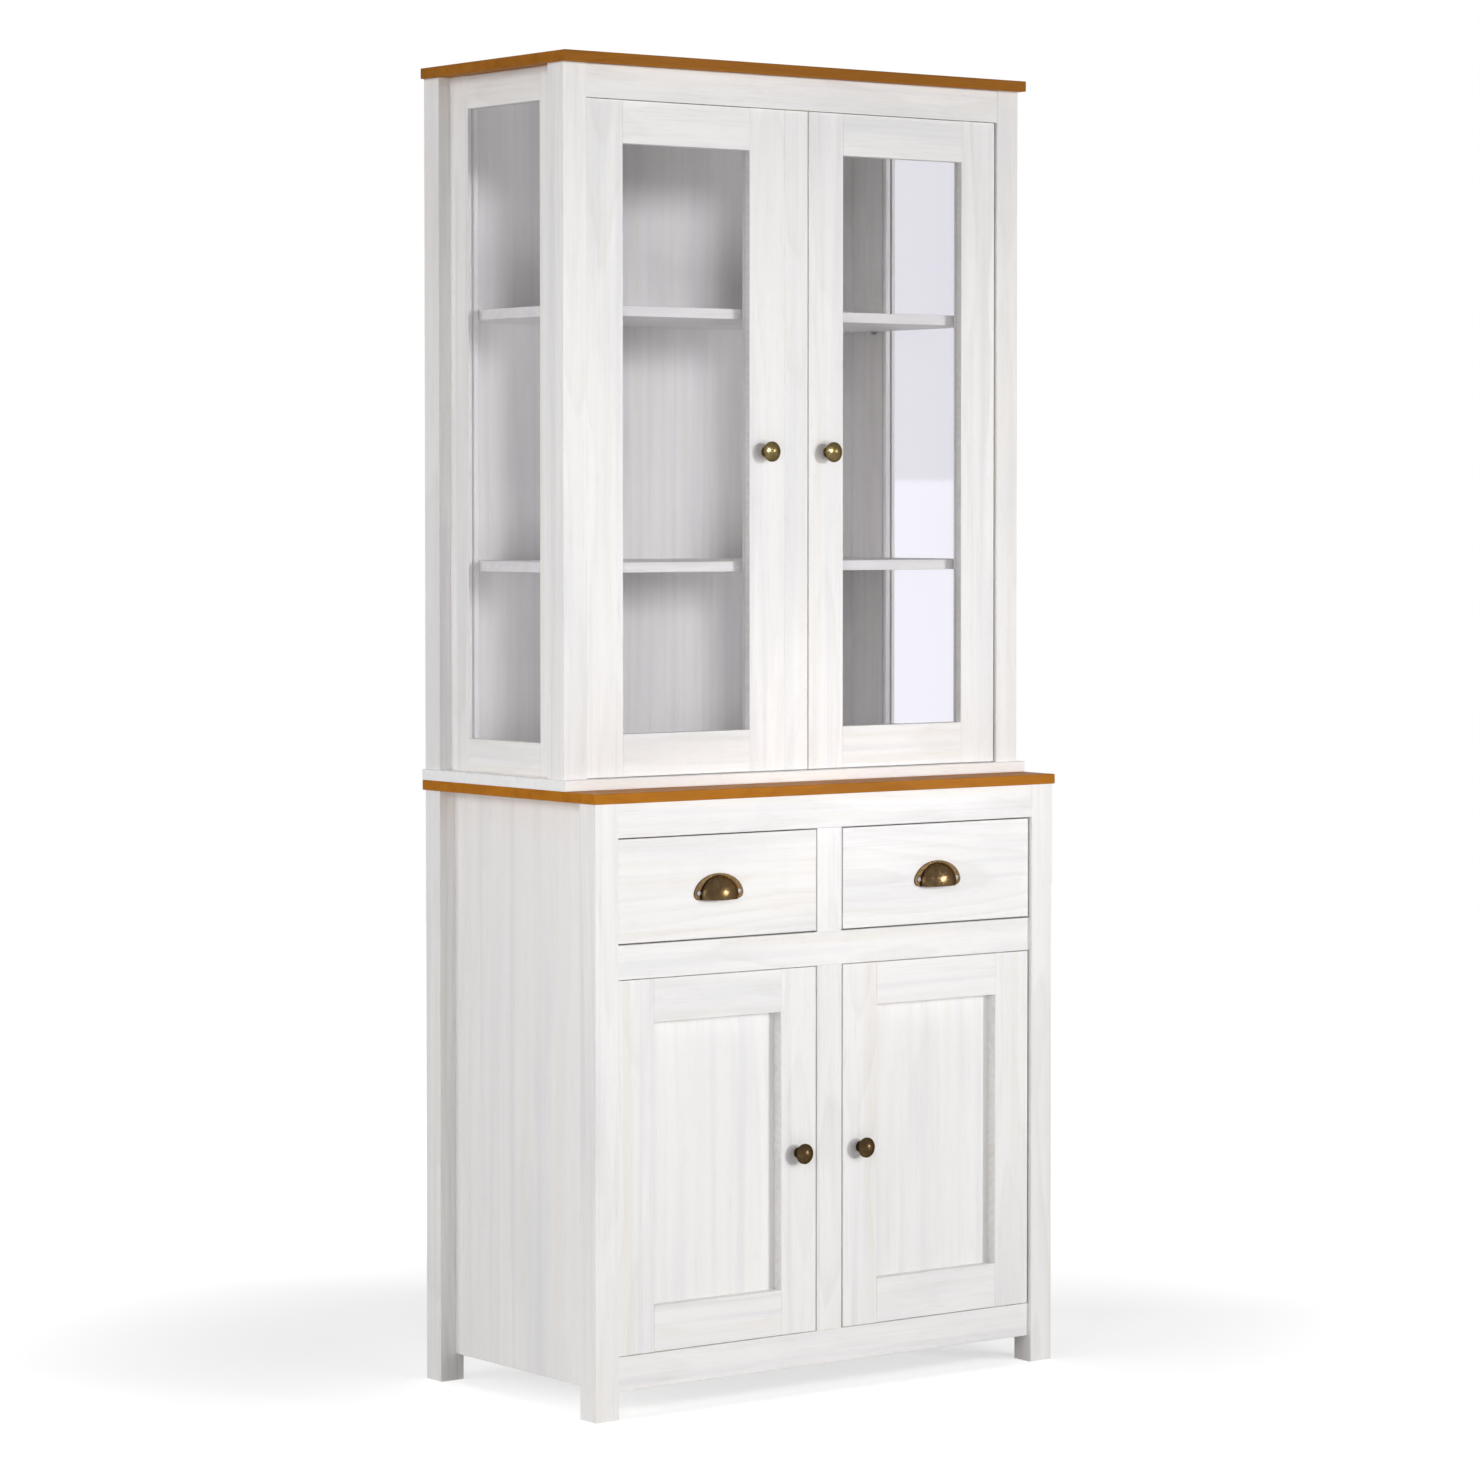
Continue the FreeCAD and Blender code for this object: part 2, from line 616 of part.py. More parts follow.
# Side frames of the hutch, flush inside with the posts.
SIDE_FACE = f"({POST_IN} + side_frame_thickness)"
SIDE_U = (POST_BACK, REAR_POST)
SIDE_SIZES = ("side_member_width", "side_member_width", "side_member_width")
side_members = frame("side_frame", side_at(SIDE_FACE), "y", SIDE_U, POST_Z, *SIDE_SIZES,
                     "side_frame_thickness", "side_lip")
LOWER_SHELF_LOW = f"({HUTCH_LOW} + lower_shelf_height)"
UPPER_SHELF_LOW = f"({HUTCH_LOW} + upper_shelf_height)"
HUTCH_PIN_Y = (f"({POST_BACK} + side_member_width / 2)", f"({REAR_POST} - side_member_width / 2)")
for member, y in zip(side_members, HUTCH_PIN_Y):
    for shelf_low in (LOWER_SHELF_LOW, UPPER_SHELF_LOW):
        rod(member, "Subtractive", (POST_IN, y, pin_height(shelf_low)), HOLE_RADIUS, HOLE_DEPTH, "x")
        pins.append(shelf_pin(f"hutch_pin_{len(pins)}", POST_IN, y, shelf_low, "-"))
side_frame = group("hutch_side_frame_right", side_members)
keep(side_frame)
keep(mirrored("hutch_side_frame_left", side_frame))
side_glass = pane("hutch_side_glass_right", side_at(SIDE_FACE), SIDE_U, POST_Z, *SIDE_SIZES,
                  "side_lip", "glass_thickness", "glass_ease")
keep(side_glass)
keep(mirrored("hutch_side_glass_left", side_glass))
side_beads = beads("side_beads_right", side_at(SIDE_FACE), "y", SIDE_U, POST_Z, *SIDE_SIZES,
                   "side_frame_thickness", "side_lip")
keep(both_sides("hutch_side_beads", side_beads))

# Shelves of the hutch, just behind the doors.
SHELF_HALF = f"({POST_IN} - shelf_end_gap)"
SHELF_Y = (f"({HUTCH_DOOR_BACK} + shelf_front_gap)", f"({HUTCH_BACK_FACE} - shelf_end_gap)")
for name, shelf_low in (("hutch_lower_shelf", LOWER_SHELF_LOW), ("hutch_upper_shelf", UPPER_SHELF_LOW)):
    keep(board(name, (f"(-{SHELF_HALF})", SHELF_HALF), SHELF_Y,
               (shelf_low, f"({shelf_low} + shelf_thickness)"), "x"))
keep(both_sides("shelf_pins", group("shelf_pins_right", pins)))

# Doors.  Each turns on two pivots, let into the ends of its hinge stile.
GLASS_DOOR_X = ("((meeting_strip_width + hutch_gap) / 2)", f"({POST_IN} - hutch_gap)")
GLASS_DOOR_Z = (f"({HUTCH_LOW} + door_end_gap)", f"({HUTCH_RAIL_LOW} - door_end_gap)")
CUPBOARD_Z = (f"({BOTTOM_TOP} + door_end_gap)", f"({DOOR_HIGH} - door_end_gap)")


def knob(name, place):
    """A turned mushroom knob with its stud, on a door's inner stile."""
    body = new_body(name, place)
    head = "knob_head_radius"
    rim_back = "(-(knob_projection - knob_dome - knob_rim))"
    rim_front = "(-(knob_projection - knob_dome))"
    points = (("0", "knob_stud_length"), ("knob_stud_radius", "knob_stud_length"),
              ("knob_stud_radius", "0"), ("knob_base_radius", "0"),
              ("knob_base_radius", "(-knob_foot)"), (head, rim_back), (head, rim_front),
              ("0", "(-knob_projection)"))
    reach = SIZES["knob_projection"]
    radius = SIZES["knob_head_radius"]
    dome = SIZES["knob_dome"]
    rim = reach - dome - SIZES["knob_rim"]
    guesses = ((0, SIZES["knob_stud_length"]), (SIZES["knob_stud_radius"], SIZES["knob_stud_length"]),
               (SIZES["knob_stud_radius"], 0), (SIZES["knob_base_radius"], 0),
               (SIZES["knob_base_radius"], -SIZES["knob_foot"]), (radius, -rim),
               (radius, dome - reach), (0, -reach))
    cap = "((knob_head_radius * knob_head_radius + knob_dome * knob_dome) / (2 * knob_dome))"
    cap_radius = (radius * radius + dome * dome) / (2 * dome)
    arcs = {4: ("knob_neck_radius", (radius + 2, -SIZES["knob_foot"])),
            6: (cap, (0, cap_radius - reach))}
    turned = body.newObject("PartDesign::Revolution", name + "_turned")
    turned.Profile = outline(body, "XY_Plane", points, guesses, arcs)
    turned.ReferenceAxis = (turned.Profile[0], ["V_Axis"])
    turned.Angle = 360
    return body


def pivot(name, x, y, z_face, up, kind):
    """A pivot leaf: a plate flush in the wood at z_face, with a pin or a bore.

    up is + for the upper end of a door, where the pin points upwards.
    """
    plate_x = (f"({x} + pivot_inset - pivot_plate_length)", f"({x} + pivot_inset)")
    plate_y = grown((y, y), "(pivot_plate_width / 2)")
    inward = (kind == "pin") == (up == "+")
    if inward:
        plate_z = (f"({z_face} - pivot_plate_thickness)", z_face)
    else:
        plate_z = (z_face, f"({z_face} + pivot_plate_thickness)")
    body = new_body(name, (plate_x[0], plate_y[0], plate_z[0]))
    block(body, "Additive", plate_x, plate_y, plate_z)
    return body, plate_x, plate_y, plate_z


def door_pivots(side, x_edge, face, z, stile, low_wood, high_wood):
    """Pins on the door and bored plates in the wood above and below it."""
    x = f"({x_edge} - pivot_inset)"
    y = f"({face} + pivot_setback)"
    pin_length = "(pivot_plate_thickness + door_end_gap + pivot_plate_thickness + pivot_reach)"
    bore = "(pivot_radius + pivot_ease)"
    socket = "(pivot_plate_thickness + pivot_reach + tenon_end_gap)"
    on_door = []
    in_wood = []
    for end, up, wood in (("upper", "+", high_wood), ("lower", "-", low_wood)):
        z_door = z[1] if up == "+" else z[0]
        z_wood = f"({z_door} {up} door_end_gap)"
        leaf, plate_x, plate_y, plate_z = pivot(f"{side}_{end}_pin_leaf", x, y, z_door, up, "pin")
        if up == "+":
            pin_start = plate_z[0]
            socket_start = z_wood
            recess = (plate_z[0], f"({z_door} + 1)")
        else:
            pin_start = f"({plate_z[1]} - {pin_length})"
            socket_start = f"({z_wood} - {socket})"
            recess = (f"({z_door} - 1)", plate_z[1])
        rod(leaf, "Additive", (x, y, pin_start), "pivot_radius", pin_length)
        on_door.append(leaf)
        let_in = grown(plate_y, "joint_ease")
        block(stile, "Subtractive", (f"({plate_x[0]} - joint_ease)", f"({x_edge} + 1)"), let_in, recess)
        plate, plate_x, plate_y, plate_z = pivot(f"{side}_{end}_plate", x, y, z_wood, up, "bore")
        if up == "-":
            rod(plate, "Additive", (x, y, z_wood), "pivot_boss_radius", "(door_end_gap - boss_gap)")
            recess = (plate_z[0], f"({z_wood} + 1)")
        else:
            recess = (f"({z_wood} - 1)", plate_z[1])
        rod(plate, "Subtractive", (x, y, f"({plate_z[0]} - 1)"), bore,
            "(pivot_plate_thickness + door_end_gap + 2)")
        in_wood.append(plate)
        for sign in ("", "-"):
            if sign:
                wood_x = (f"(-{plate_x[1]})", f"(-{plate_x[0]})")
            else:
                wood_x = plate_x
            block(wood, "Subtractive", grown(wood_x, "joint_ease"), let_in, recess)
            rod(wood, "Subtractive", (f"({sign}{x})", y, socket_start),
                "(pivot_radius + tenon_end_gap)", socket)
    return group(f"{side}_pivots", on_door), in_wood


def knob_hole(stile, place):
    """The blind hole for a knob's stud."""
    rod(stile, "Subtractive", place, "(knob_stud_radius + joint_ease)",
        "(knob_stud_length + tenon_end_gap)", "y")


UPPER_KNOB = (f"({GLASS_DOOR_X[0]} + upper_knob_inset)", HUTCH_FACE, f"({HUTCH_LOW} + upper_knob_height)")
LOWER_KNOB = (f"({FRONT_X[0]} + lower_knob_inset)", FACE, f"({BOTTOM_TOP} + lower_knob_height)")

glass_sizes = ("glass_door_stile", "glass_door_rail", "glass_door_rail")
glass_at = door_at(HUTCH_FACE)
glass_door = frame("glass_door", glass_at, "x", GLASS_DOOR_X, GLASS_DOOR_Z, *glass_sizes,
                   "door_thickness", "glass_door_lip")
knob_hole(glass_door[0], UPPER_KNOB)
glass_pivots, hutch_plates = door_pivots("glass_door", GLASS_DOOR_X[1], HUTCH_FACE, GLASS_DOOR_Z,
                                         glass_door[1], hutch_base, hutch_rail)
keep(hutch_base)
keep(hutch_rail)
glass_door_frame = group("glass_door_right_frame", glass_door)
keep(glass_door_frame)
keep(mirrored("glass_door_left_frame", glass_door_frame))
glass = pane("glass_door_right_glass", glass_at, GLASS_DOOR_X, GLASS_DOOR_Z, *glass_sizes,
             "glass_door_lip", "glass_thickness", "glass_ease")
keep(glass)
keep(mirrored("glass_door_left_glass", glass))
glass_beads = beads("glass_door_right_beads", glass_at, "x", GLASS_DOOR_X, GLASS_DOOR_Z, *glass_sizes,
                    "door_thickness", "glass_door_lip")
keep(glass_beads)
keep(mirrored("glass_door_left_beads", glass_beads))
upper_knob = knob("glass_door_right_knob", UPPER_KNOB)
keep(upper_knob)
keep(mirrored("glass_door_left_knob", upper_knob))
glass_pivots.Label = "glass_door_right_pivots"
keep(glass_pivots)
keep(mirrored("glass_door_left_pivots", glass_pivots))
keep(board("glass_door_left_strip",
           (f"(-{GLASS_DOOR_X[0]})", "((meeting_strip_width - hutch_gap) / 2)"),
           (HUTCH_FACE, HUTCH_DOOR_BACK), GLASS_DOOR_Z, "z"))

cupboard_sizes = ("cupboard_door_stile", "cupboard_door_top", "cupboard_door_bottom")
PANEL_LIP = "(door_thickness - panel_thickness)"
cupboard_at = door_at(FACE)
cupboard_door = frame("cupboard_door", cupboard_at, "x", FRONT_X, CUPBOARD_Z, *cupboard_sizes,
                      "door_thickness", PANEL_LIP)
knob_hole(cupboard_door[0], LOWER_KNOB)
cupboard_pivots, base_plates = door_pivots("cupboard_door", FRONT_X[1], FACE, CUPBOARD_Z,
                                           cupboard_door[1], bottom_rail, mid_rail)
keep(bottom_rail)
keep(mid_rail)
cupboard_frame = group("cupboard_door_right_frame", cupboard_door)
keep(cupboard_frame)
keep(mirrored("cupboard_door_left_frame", cupboard_frame))
panel = pane("cupboard_door_right_panel", cupboard_at, FRONT_X, CUPBOARD_Z, *cupboard_sizes,
             PANEL_LIP, "panel_thickness", "joint_ease")
keep(panel)
keep(mirrored("cupboard_door_left_panel", panel))
lower_knob = knob("cupboard_door_right_knob", LOWER_KNOB)
keep(lower_knob)
keep(mirrored("cupboard_door_left_knob", lower_knob))
cupboard_pivots.Label = "cupboard_door_right_pivots"
keep(cupboard_pivots)
keep(mirrored("cupboard_door_left_pivots", cupboard_pivots))
keep(both_sides("pivot_plates", group("pivot_plates_right", hutch_plates + base_plates)))


def catch(name, middle, rail_back, door_back, rail_low):
    """A magnetic catch behind a rail, reaching down behind a door's inner stile."""
    start = (f"({middle} - catch_width / 2)", rail_back, rail_low)
    rest = f"({door_back} - {rail_back} + catch_gap)"
    far = f"({rest} + catch_depth)"
    points = (("0", "catch_clearance"), ("0", "catch_rise"), (far, "catch_rise"),
              (far, "(-catch_drop)"), (rest, "(-catch_drop)"), (rest, "catch_clearance"))
    return extrusion(name, "YZ_Plane", start, points, "catch_width")


CUPBOARD_BACK = f"({FACE} + door_thickness)"
catches = [catch("hutch_catch", UPPER_KNOB[0], HUTCH_RAIL_BACK, HUTCH_DOOR_BACK, HUTCH_RAIL_LOW),
           catch("base_catch", LOWER_KNOB[0], RAIL_BACK, CUPBOARD_BACK, DOOR_HIGH)]
keep(both_sides("door_catches", group("door_catches_right", catches)))

# Drawers.  The front is housed for the sides and grooved for the bottom.
DRAWER_FRONT_Z = (f"({DRAWER_LOW} + front_gap)", f"({TOP_RAIL_LOW} - front_gap)")
BOX_BACK = f"({BACK_FACE} - drawer_back_gap)"
SIDE_START = f"({RAIL_BACK} - housing_depth)"
BOX_BOTTOM_Z = (f"({BOX_LOW} + drawer_bottom_rise)",
                f"({BOX_LOW} + drawer_bottom_rise + drawer_bottom_thickness)")
BOX_IN = (f"({BOX_X[0]} + drawer_wall)", f"({BOX_X[1]} - drawer_wall)")
BOX_GROOVE_X = grown(BOX_IN, "drawer_groove")

drawer_front = board("drawer_right_front", FRONT_X, (FACE, RAIL_BACK), DRAWER_FRONT_Z, "x")
for wall in ((BOX_X[0], BOX_IN[0]), (BOX_IN[1], BOX_X[1])):
    block(drawer_front, "Subtractive", grown(wall, "joint_ease"),
          (SIDE_START, f"({RAIL_BACK} + 1)"), grown((BOX_LOW, BOX_HIGH), "joint_ease"))
block(drawer_front, "Subtractive", BOX_GROOVE_X, (f"({RAIL_BACK} - drawer_groove)", f"({RAIL_BACK} + 1)"),
      grown(BOX_BOTTOM_Z, "joint_ease"))
keep(drawer_front)
keep(mirrored("drawer_left_front", drawer_front))

# A drawer side is a section with the runner's groove outside and the bottom's inside.
RUN_LOW = "((drawer_box_height - runner_height) / 2 - runner_ease)"
RUN_HIGH = "((drawer_box_height + runner_height) / 2 + runner_ease)"
SLOT_LOW = "(drawer_bottom_rise - joint_ease)"
SLOT_HIGH = "(drawer_bottom_rise + drawer_bottom_thickness + joint_ease)"
FAR_WALL = "drawer_wall"
outer_section = (("0", "0"), (FAR_WALL, "0"), (FAR_WALL, RUN_LOW), (f"({FAR_WALL} - runner_groove)", RUN_LOW),
                 (f"({FAR_WALL} - runner_groove)", RUN_HIGH), (FAR_WALL, RUN_HIGH),
                 (FAR_WALL, "drawer_box_height"), ("0", "drawer_box_height"),
                 ("0", SLOT_HIGH), ("drawer_groove", SLOT_HIGH), ("drawer_groove", SLOT_LOW),
                 ("0", SLOT_LOW))
inner_section = tuple((f"({FAR_WALL} - {u})", v) for u, v in outer_section)
SIDE_LENGTH = f"({BOX_BACK} - {SIDE_START})"
outer_side = extrusion("drawer_side_outer", "XZ_Plane", (BOX_IN[1], SIDE_START, BOX_LOW),
                       outer_section, SIDE_LENGTH)
inner_side = extrusion("drawer_side_inner", "XZ_Plane", (BOX_X[0], SIDE_START, BOX_LOW),
                       inner_section, SIDE_LENGTH)
box_back = board("drawer_back", BOX_IN, (f"({BOX_BACK} - drawer_wall)", BOX_BACK),
                 (BOX_BOTTOM_Z[1], BOX_HIGH), "x")
drawer_box = group("drawer_right_box", [outer_side, inner_side, box_back])
keep(drawer_box)
keep(mirrored("drawer_left_box", drawer_box))
BOTTOM_X = grown(BOX_IN, "(drawer_groove - joint_ease)")
drawer_bottom = board("drawer_right_bottom", BOTTOM_X,
                      (f"({RAIL_BACK} - drawer_groove + joint_ease)", BOX_BACK), BOX_BOTTOM_Z, "y")
keep(drawer_bottom)
keep(mirrored("drawer_left_bottom", drawer_bottom))


# A cup pull is a thin quarter ellipsoid, open below and behind, on a half-oval rim.
# It is made about the middle of its widest line, then cut along its lower edge.
def ellipsoid(name, half_width, projection, height):
    shape = doc.addObject("Part::Ellipsoid", name)
    bind(shape, "Radius1", height)
    bind(shape, "Radius2", half_width)
    bind(shape, "Radius3", projection)
    return shape


oval = doc.addObject("Part::Ellipse", "pull_oval")
bind(oval, "MajorRadius", "pull_width / 2")
bind(oval, "MinorRadius", "pull_height - pull_drop")
oval.Placement.Rotation = FreeCAD.Rotation(FreeCAD.Vector(1, 0, 0), 90)
plate = doc.addObject("Part::Extrusion", "pull_plate")
plate.Base = oval
plate.DirMode = "Custom"
plate.Dir = FreeCAD.Vector(0, -1, 0)
plate.Solid = True
bind(plate, "LengthFwd", "pull_plate")
half = doc.addObject("Part::Box", "pull_half")
bind(half, "Length", "pull_width + 2")
bind(half, "Width", "pull_projection + 1")
bind(half, "Height", "pull_height + 1")
bind(half, "Placement.Base.x", "-(pull_width / 2 + 1)")
bind(half, "Placement.Base.y", "-(pull_projection + 1)")
bind(half, "Placement.Base.z", "-pull_drop")
blank = doc.addObject("Part::Common", "pull_blank")
blank.Base = plate
blank.Tool = half
doc.recompute()

# The rim's two lower corners are rounded: the edges there run through the plate.
corner = SIZES["pull_corner"]
rounded = []
for number, edge in enumerate(blank.Shape.Edges, start=1):
    start, end = (vertex.Point for vertex in edge.Vertexes)
    if start.z < 0 and end.z < 0 and abs(start.x - end.x) < 0.01:
        rounded.append((number, corner, corner))
rim = doc.addObject("Part::Fillet", "pull_rim")
rim.Base = blank
rim.Edges = rounded
dome = ellipsoid("pull_dome", "pull_dome_width / 2", "pull_projection", "pull_dome_height - pull_drop")
hollow = ellipsoid("pull_hollow", "pull_dome_width / 2 - pull_wall", "pull_projection - pull_wall",
                   "pull_dome_height - pull_drop - pull_wall")
cast = doc.addObject("Part::Fuse", "pull_cast")
cast.Base = rim
cast.Tool = dome
shell = doc.addObject("Part::Cut", "pull_shell")
shell.Base = cast
shell.Tool = hollow
holes = []
for sign in ("", "-"):
    hole = doc.addObject("Part::Cylinder", "pull_hole")
    hole.Placement.Rotation = FreeCAD.Rotation(FreeCAD.Vector(1, 0, 0), 90)
    bind(hole, "Radius", "pull_hole_radius")
    bind(hole, "Height", "pull_projection")
    bind(hole, "Placement.Base.x", f"{sign}(pull_hole_spacing / 2)")
    bind(hole, "Placement.Base.z", "pull_hole_height - pull_drop")
    holes.append(hole)
drilled = shell
for hole in holes:
    cut = doc.addObject("Part::Cut", "pull_drilled")
    cut.Base = drilled
    cut.Tool = hole
    drilled = cut
pull = doc.addObject("Part::Common", "drawer_right_pull")
pull.Base = drilled
pull.Tool = half
bind(pull, "Placement.Base.x", f"({FRONT_X[0]} + {FRONT_X[1]}) / 2")
bind(pull, "Placement.Base.y", FACE)
bind(pull, "Placement.Base.z",
     f"({DRAWER_FRONT_Z[0]} + {DRAWER_FRONT_Z[1]}) / 2 - pull_height / 2 + pull_drop")
keep(pull)
keep(mirrored("drawer_left_pull", pull))

doc.recompute()

for item in doc.Objects:
    if "Invalid" in item.State or "Error" in item.State:
        raise SystemExit(f"{item.Label}: {item.State}")
    if item.TypeId.startswith("PartDesign::Subtractive"):
        if not item.Shape.Volume < item.BaseFeature.Shape.Volume - 0.01:
            raise SystemExit(f"{item.Label} cuts nothing")
for node in nodes:
    if node.Shape.isNull() or not node.Shape.isValid() or not node.Shape.Solids:
        raise SystemExit(f"{node.Label}: no valid solid")

os.makedirs("parts", exist_ok=True)
for node in nodes:
    node.Shape.exportStep(os.path.join("parts", node.Label + ".step"))
print(len(nodes), "sub-parts,", sum(len(node.Shape.Solids) for node in nodes), "solids")
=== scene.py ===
import math

import bmesh
import bpy
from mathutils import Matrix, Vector


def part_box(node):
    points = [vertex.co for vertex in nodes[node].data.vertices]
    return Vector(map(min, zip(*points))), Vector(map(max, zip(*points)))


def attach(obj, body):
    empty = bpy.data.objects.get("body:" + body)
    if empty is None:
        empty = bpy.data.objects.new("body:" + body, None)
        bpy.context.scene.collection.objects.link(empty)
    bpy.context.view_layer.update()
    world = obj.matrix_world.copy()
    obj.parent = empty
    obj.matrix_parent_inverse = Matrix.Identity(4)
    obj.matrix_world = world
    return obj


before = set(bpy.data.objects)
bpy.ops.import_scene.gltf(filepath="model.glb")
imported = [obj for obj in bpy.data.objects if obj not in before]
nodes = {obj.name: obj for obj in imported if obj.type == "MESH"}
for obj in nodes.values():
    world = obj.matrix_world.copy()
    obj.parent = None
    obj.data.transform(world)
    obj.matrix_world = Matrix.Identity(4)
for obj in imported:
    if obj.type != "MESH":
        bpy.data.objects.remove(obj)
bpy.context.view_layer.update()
MM = 0.001
AXES = {"x": 0, "y": 1, "z": 2}
SIDES = ("left", "right")


# ---------------------------------------------------------------- node helpers
class Net:
    """A small writer of shader nodes. A value may be a number, a tuple or another node's output."""

    def __init__(self, tree):
        self.tree = tree

    def node(self, kind, inputs=None, **settings):
        made = self.tree.nodes.new("ShaderNode" + kind)
        for name, value in settings.items():
            setattr(made, name, value)
        for name, value in (inputs or {}).items():
            self.feed(made.inputs[name], value)
        return made

    def feed(self, socket, value):
        if isinstance(value, bpy.types.NodeSocket):
            self.tree.links.new(value, socket)
        else:
            socket.default_value = value

    def math(self, operation, a, b=None):
        made = self.node("Math", operation=operation)
        for place, value in enumerate((a, b)):
            if value is not None:
                self.feed(made.inputs[place], value)
        return made.outputs[0]

    def add(self, a, b):
        return self.math("ADD", a, b)

    def sub(self, a, b):
        return self.math("SUBTRACT", a, b)

    def mul(self, a, b):
        return self.math("MULTIPLY", a, b)

    def blend(self, factor, a, b):
        """a where factor is 0 and b where it is 1, for numbers."""
        made = self.node("Mix", data_type="FLOAT")
        for place, value in ((0, factor), (2, a), (3, b)):
            self.feed(made.inputs[place], value)
        return made.outputs[0]

    def tint(self, factor, a, b):
        """a where factor is 0 and b where it is 1, for colours."""
        made = self.node("Mix", data_type="RGBA")
        for place, value in ((0, factor), (6, a), (7, b)):
            self.feed(made.inputs[place], value)
        return made.outputs[2]

    def ramp(self, value, low, high, to_low=0.0, to_high=1.0, smooth=True):
        made = self.node("MapRange", interpolation_type="SMOOTHSTEP" if smooth else "LINEAR")
        for place, v in enumerate((value, low, high, to_low, to_high)):
            self.feed(made.inputs[place], v)
        return made.outputs[0]

    def noise(self, vector, scale=1.0, detail=2.0, rough=0.5):
        made = self.node("TexNoise", {"Vector": vector, "Scale": scale, "Detail": detail,
                                      "Roughness": rough})
        return made.outputs["Fac"]

    def vector(self, x, y, z):
        return self.node("CombineXYZ", {"X": x, "Y": y, "Z": z}).outputs[0]

    def place(self, space="Object"):
        """The three coordinates of the point."""
        parts = self.node("SeparateXYZ", {"Vector": self.node("TexCoord").outputs[space]})
        return [parts.outputs[k] for k in range(3)]


def colour(text):
    """#RRGGBB as the linear colour that a shader takes."""
    parts = [int(text[k:k + 2], 16) / 255 for k in (1, 3, 5)]
    return tuple(p / 12.92 if p <= 0.04045 else ((p + 0.055) / 1.055) ** 2.4 for p in parts) + (1.0,)


def material(name):
    made = bpy.data.materials.new(name)
    made.use_nodes = True
    made.node_tree.nodes.clear()
    net = Net(made.node_tree)
    shader = net.node("BsdfPrincipled")
    out = net.node("OutputMaterial", {"Surface": shader.outputs[0]})
    return made, net, shader, out


def bump(net, shader, height, distance):
    made = net.node("Bump", {"Strength": 1.0, "Distance": distance, "Height": height})
    net.feed(shader.inputs["Normal"], made.outputs[0])


def dress(node, mat):
    """Gives a CAD node its material."""
    target = nodes[node]
    for slot in target.material_slots:
        slot.material = mat
    if not target.material_slots:
        target.data.materials.append(mat)


# ---------------------------------------------------------------- wood figure
# how far the pith strays sideways and in depth, and how far a ring strays from its circle, in metres
PITH_WANDER, PITH_SWAY, RING_RIPPLE = 0.09, 0.10, 0.016


def figure_group():
    """The figure of sawn pine. U runs across the face, T into the board, L along the grain, in metres."""
    tree = bpy.data.node_groups.new("pine figure", "ShaderNodeTree")
    for name in ("U", "T", "L", "Seed", "Ring", "Pith"):
        tree.interface.new_socket(name=name, in_out="INPUT", socket_type="NodeSocketFloat")
    for name in ("Rings", "Fibre", "Streak", "Cloud", "Pores"):
        tree.interface.new_socket(name=name, in_out="OUTPUT", socket_type="NodeSocketFloat")
    net = Net(tree)
    given = tree.nodes.new("NodeGroupInput")
    made = tree.nodes.new("NodeGroupOutput")
    u, t, along, seed, ring, pith = (given.outputs[k] for k in range(6))

    def grain(across, length, shift, detail, rough=0.5):
        """A noise, in waves per metre across and along the grain, that differs with the board's seed."""
        return net.noise(net.vector(net.add(net.mul(u, across), net.mul(seed, shift)),
                                    net.add(net.mul(t, across), net.mul(seed, 2.3)),
                                    net.add(net.mul(along, length), net.mul(seed, 4.1))),
                         detail=detail, rough=rough)

    # growth rings are cylinders round a pith that wanders along the board
    line = net.vector(net.mul(seed, 7.7), 0.0, net.mul(along, 1.7))
    wander = net.sub(net.noise(line, detail=1.0), 0.5)
    sway = net.sub(grain(across=1.2, length=1.1, shift=9.1, detail=1.0), 0.5)
    side = net.add(u, net.mul(wander, PITH_WANDER))
    deep = net.add(t, net.add(pith, net.mul(sway, PITH_SWAY)))
    radius = net.math("SQRT", net.add(net.mul(side, side), net.mul(deep, deep)))
    ripple = net.sub(grain(across=16.0, length=3.2, shift=3.3, detail=3.0, rough=0.55), 0.5)
    phase = net.math("FRACT", net.math("DIVIDE", net.add(radius, net.mul(ripple, RING_RIPPLE)), ring))
    # late wood darkens slowly and ends sharply, and is plainer in some places than in others
    late = net.mul(net.math("POWER", phase, 2.4), net.ramp(phase, 0.86, 1.0, 1.0, 0.0))
    plain = net.ramp(grain(across=9.0, length=1.5, shift=5.7, detail=2.0), 0.3, 0.7, 0.35, 1.0)
    rings = net.mul(late, plain)

    fibre = grain(across=330.0, length=5.0, shift=6.1, detail=2.0, rough=0.6)
    streak = grain(across=44.0, length=0.9, shift=8.3, detail=2.5)
    cloud = grain(across=13.0, length=2.1, shift=1.9, detail=2.0)
    pores = net.ramp(grain(across=900.0, length=24.0, shift=2.7, detail=1.0), 0.62, 0.74)
    for place, value in enumerate((rings, fibre, streak, cloud, pores)):
        net.feed(made.inputs[place], value)
    return tree


FIGURE = figure_group()


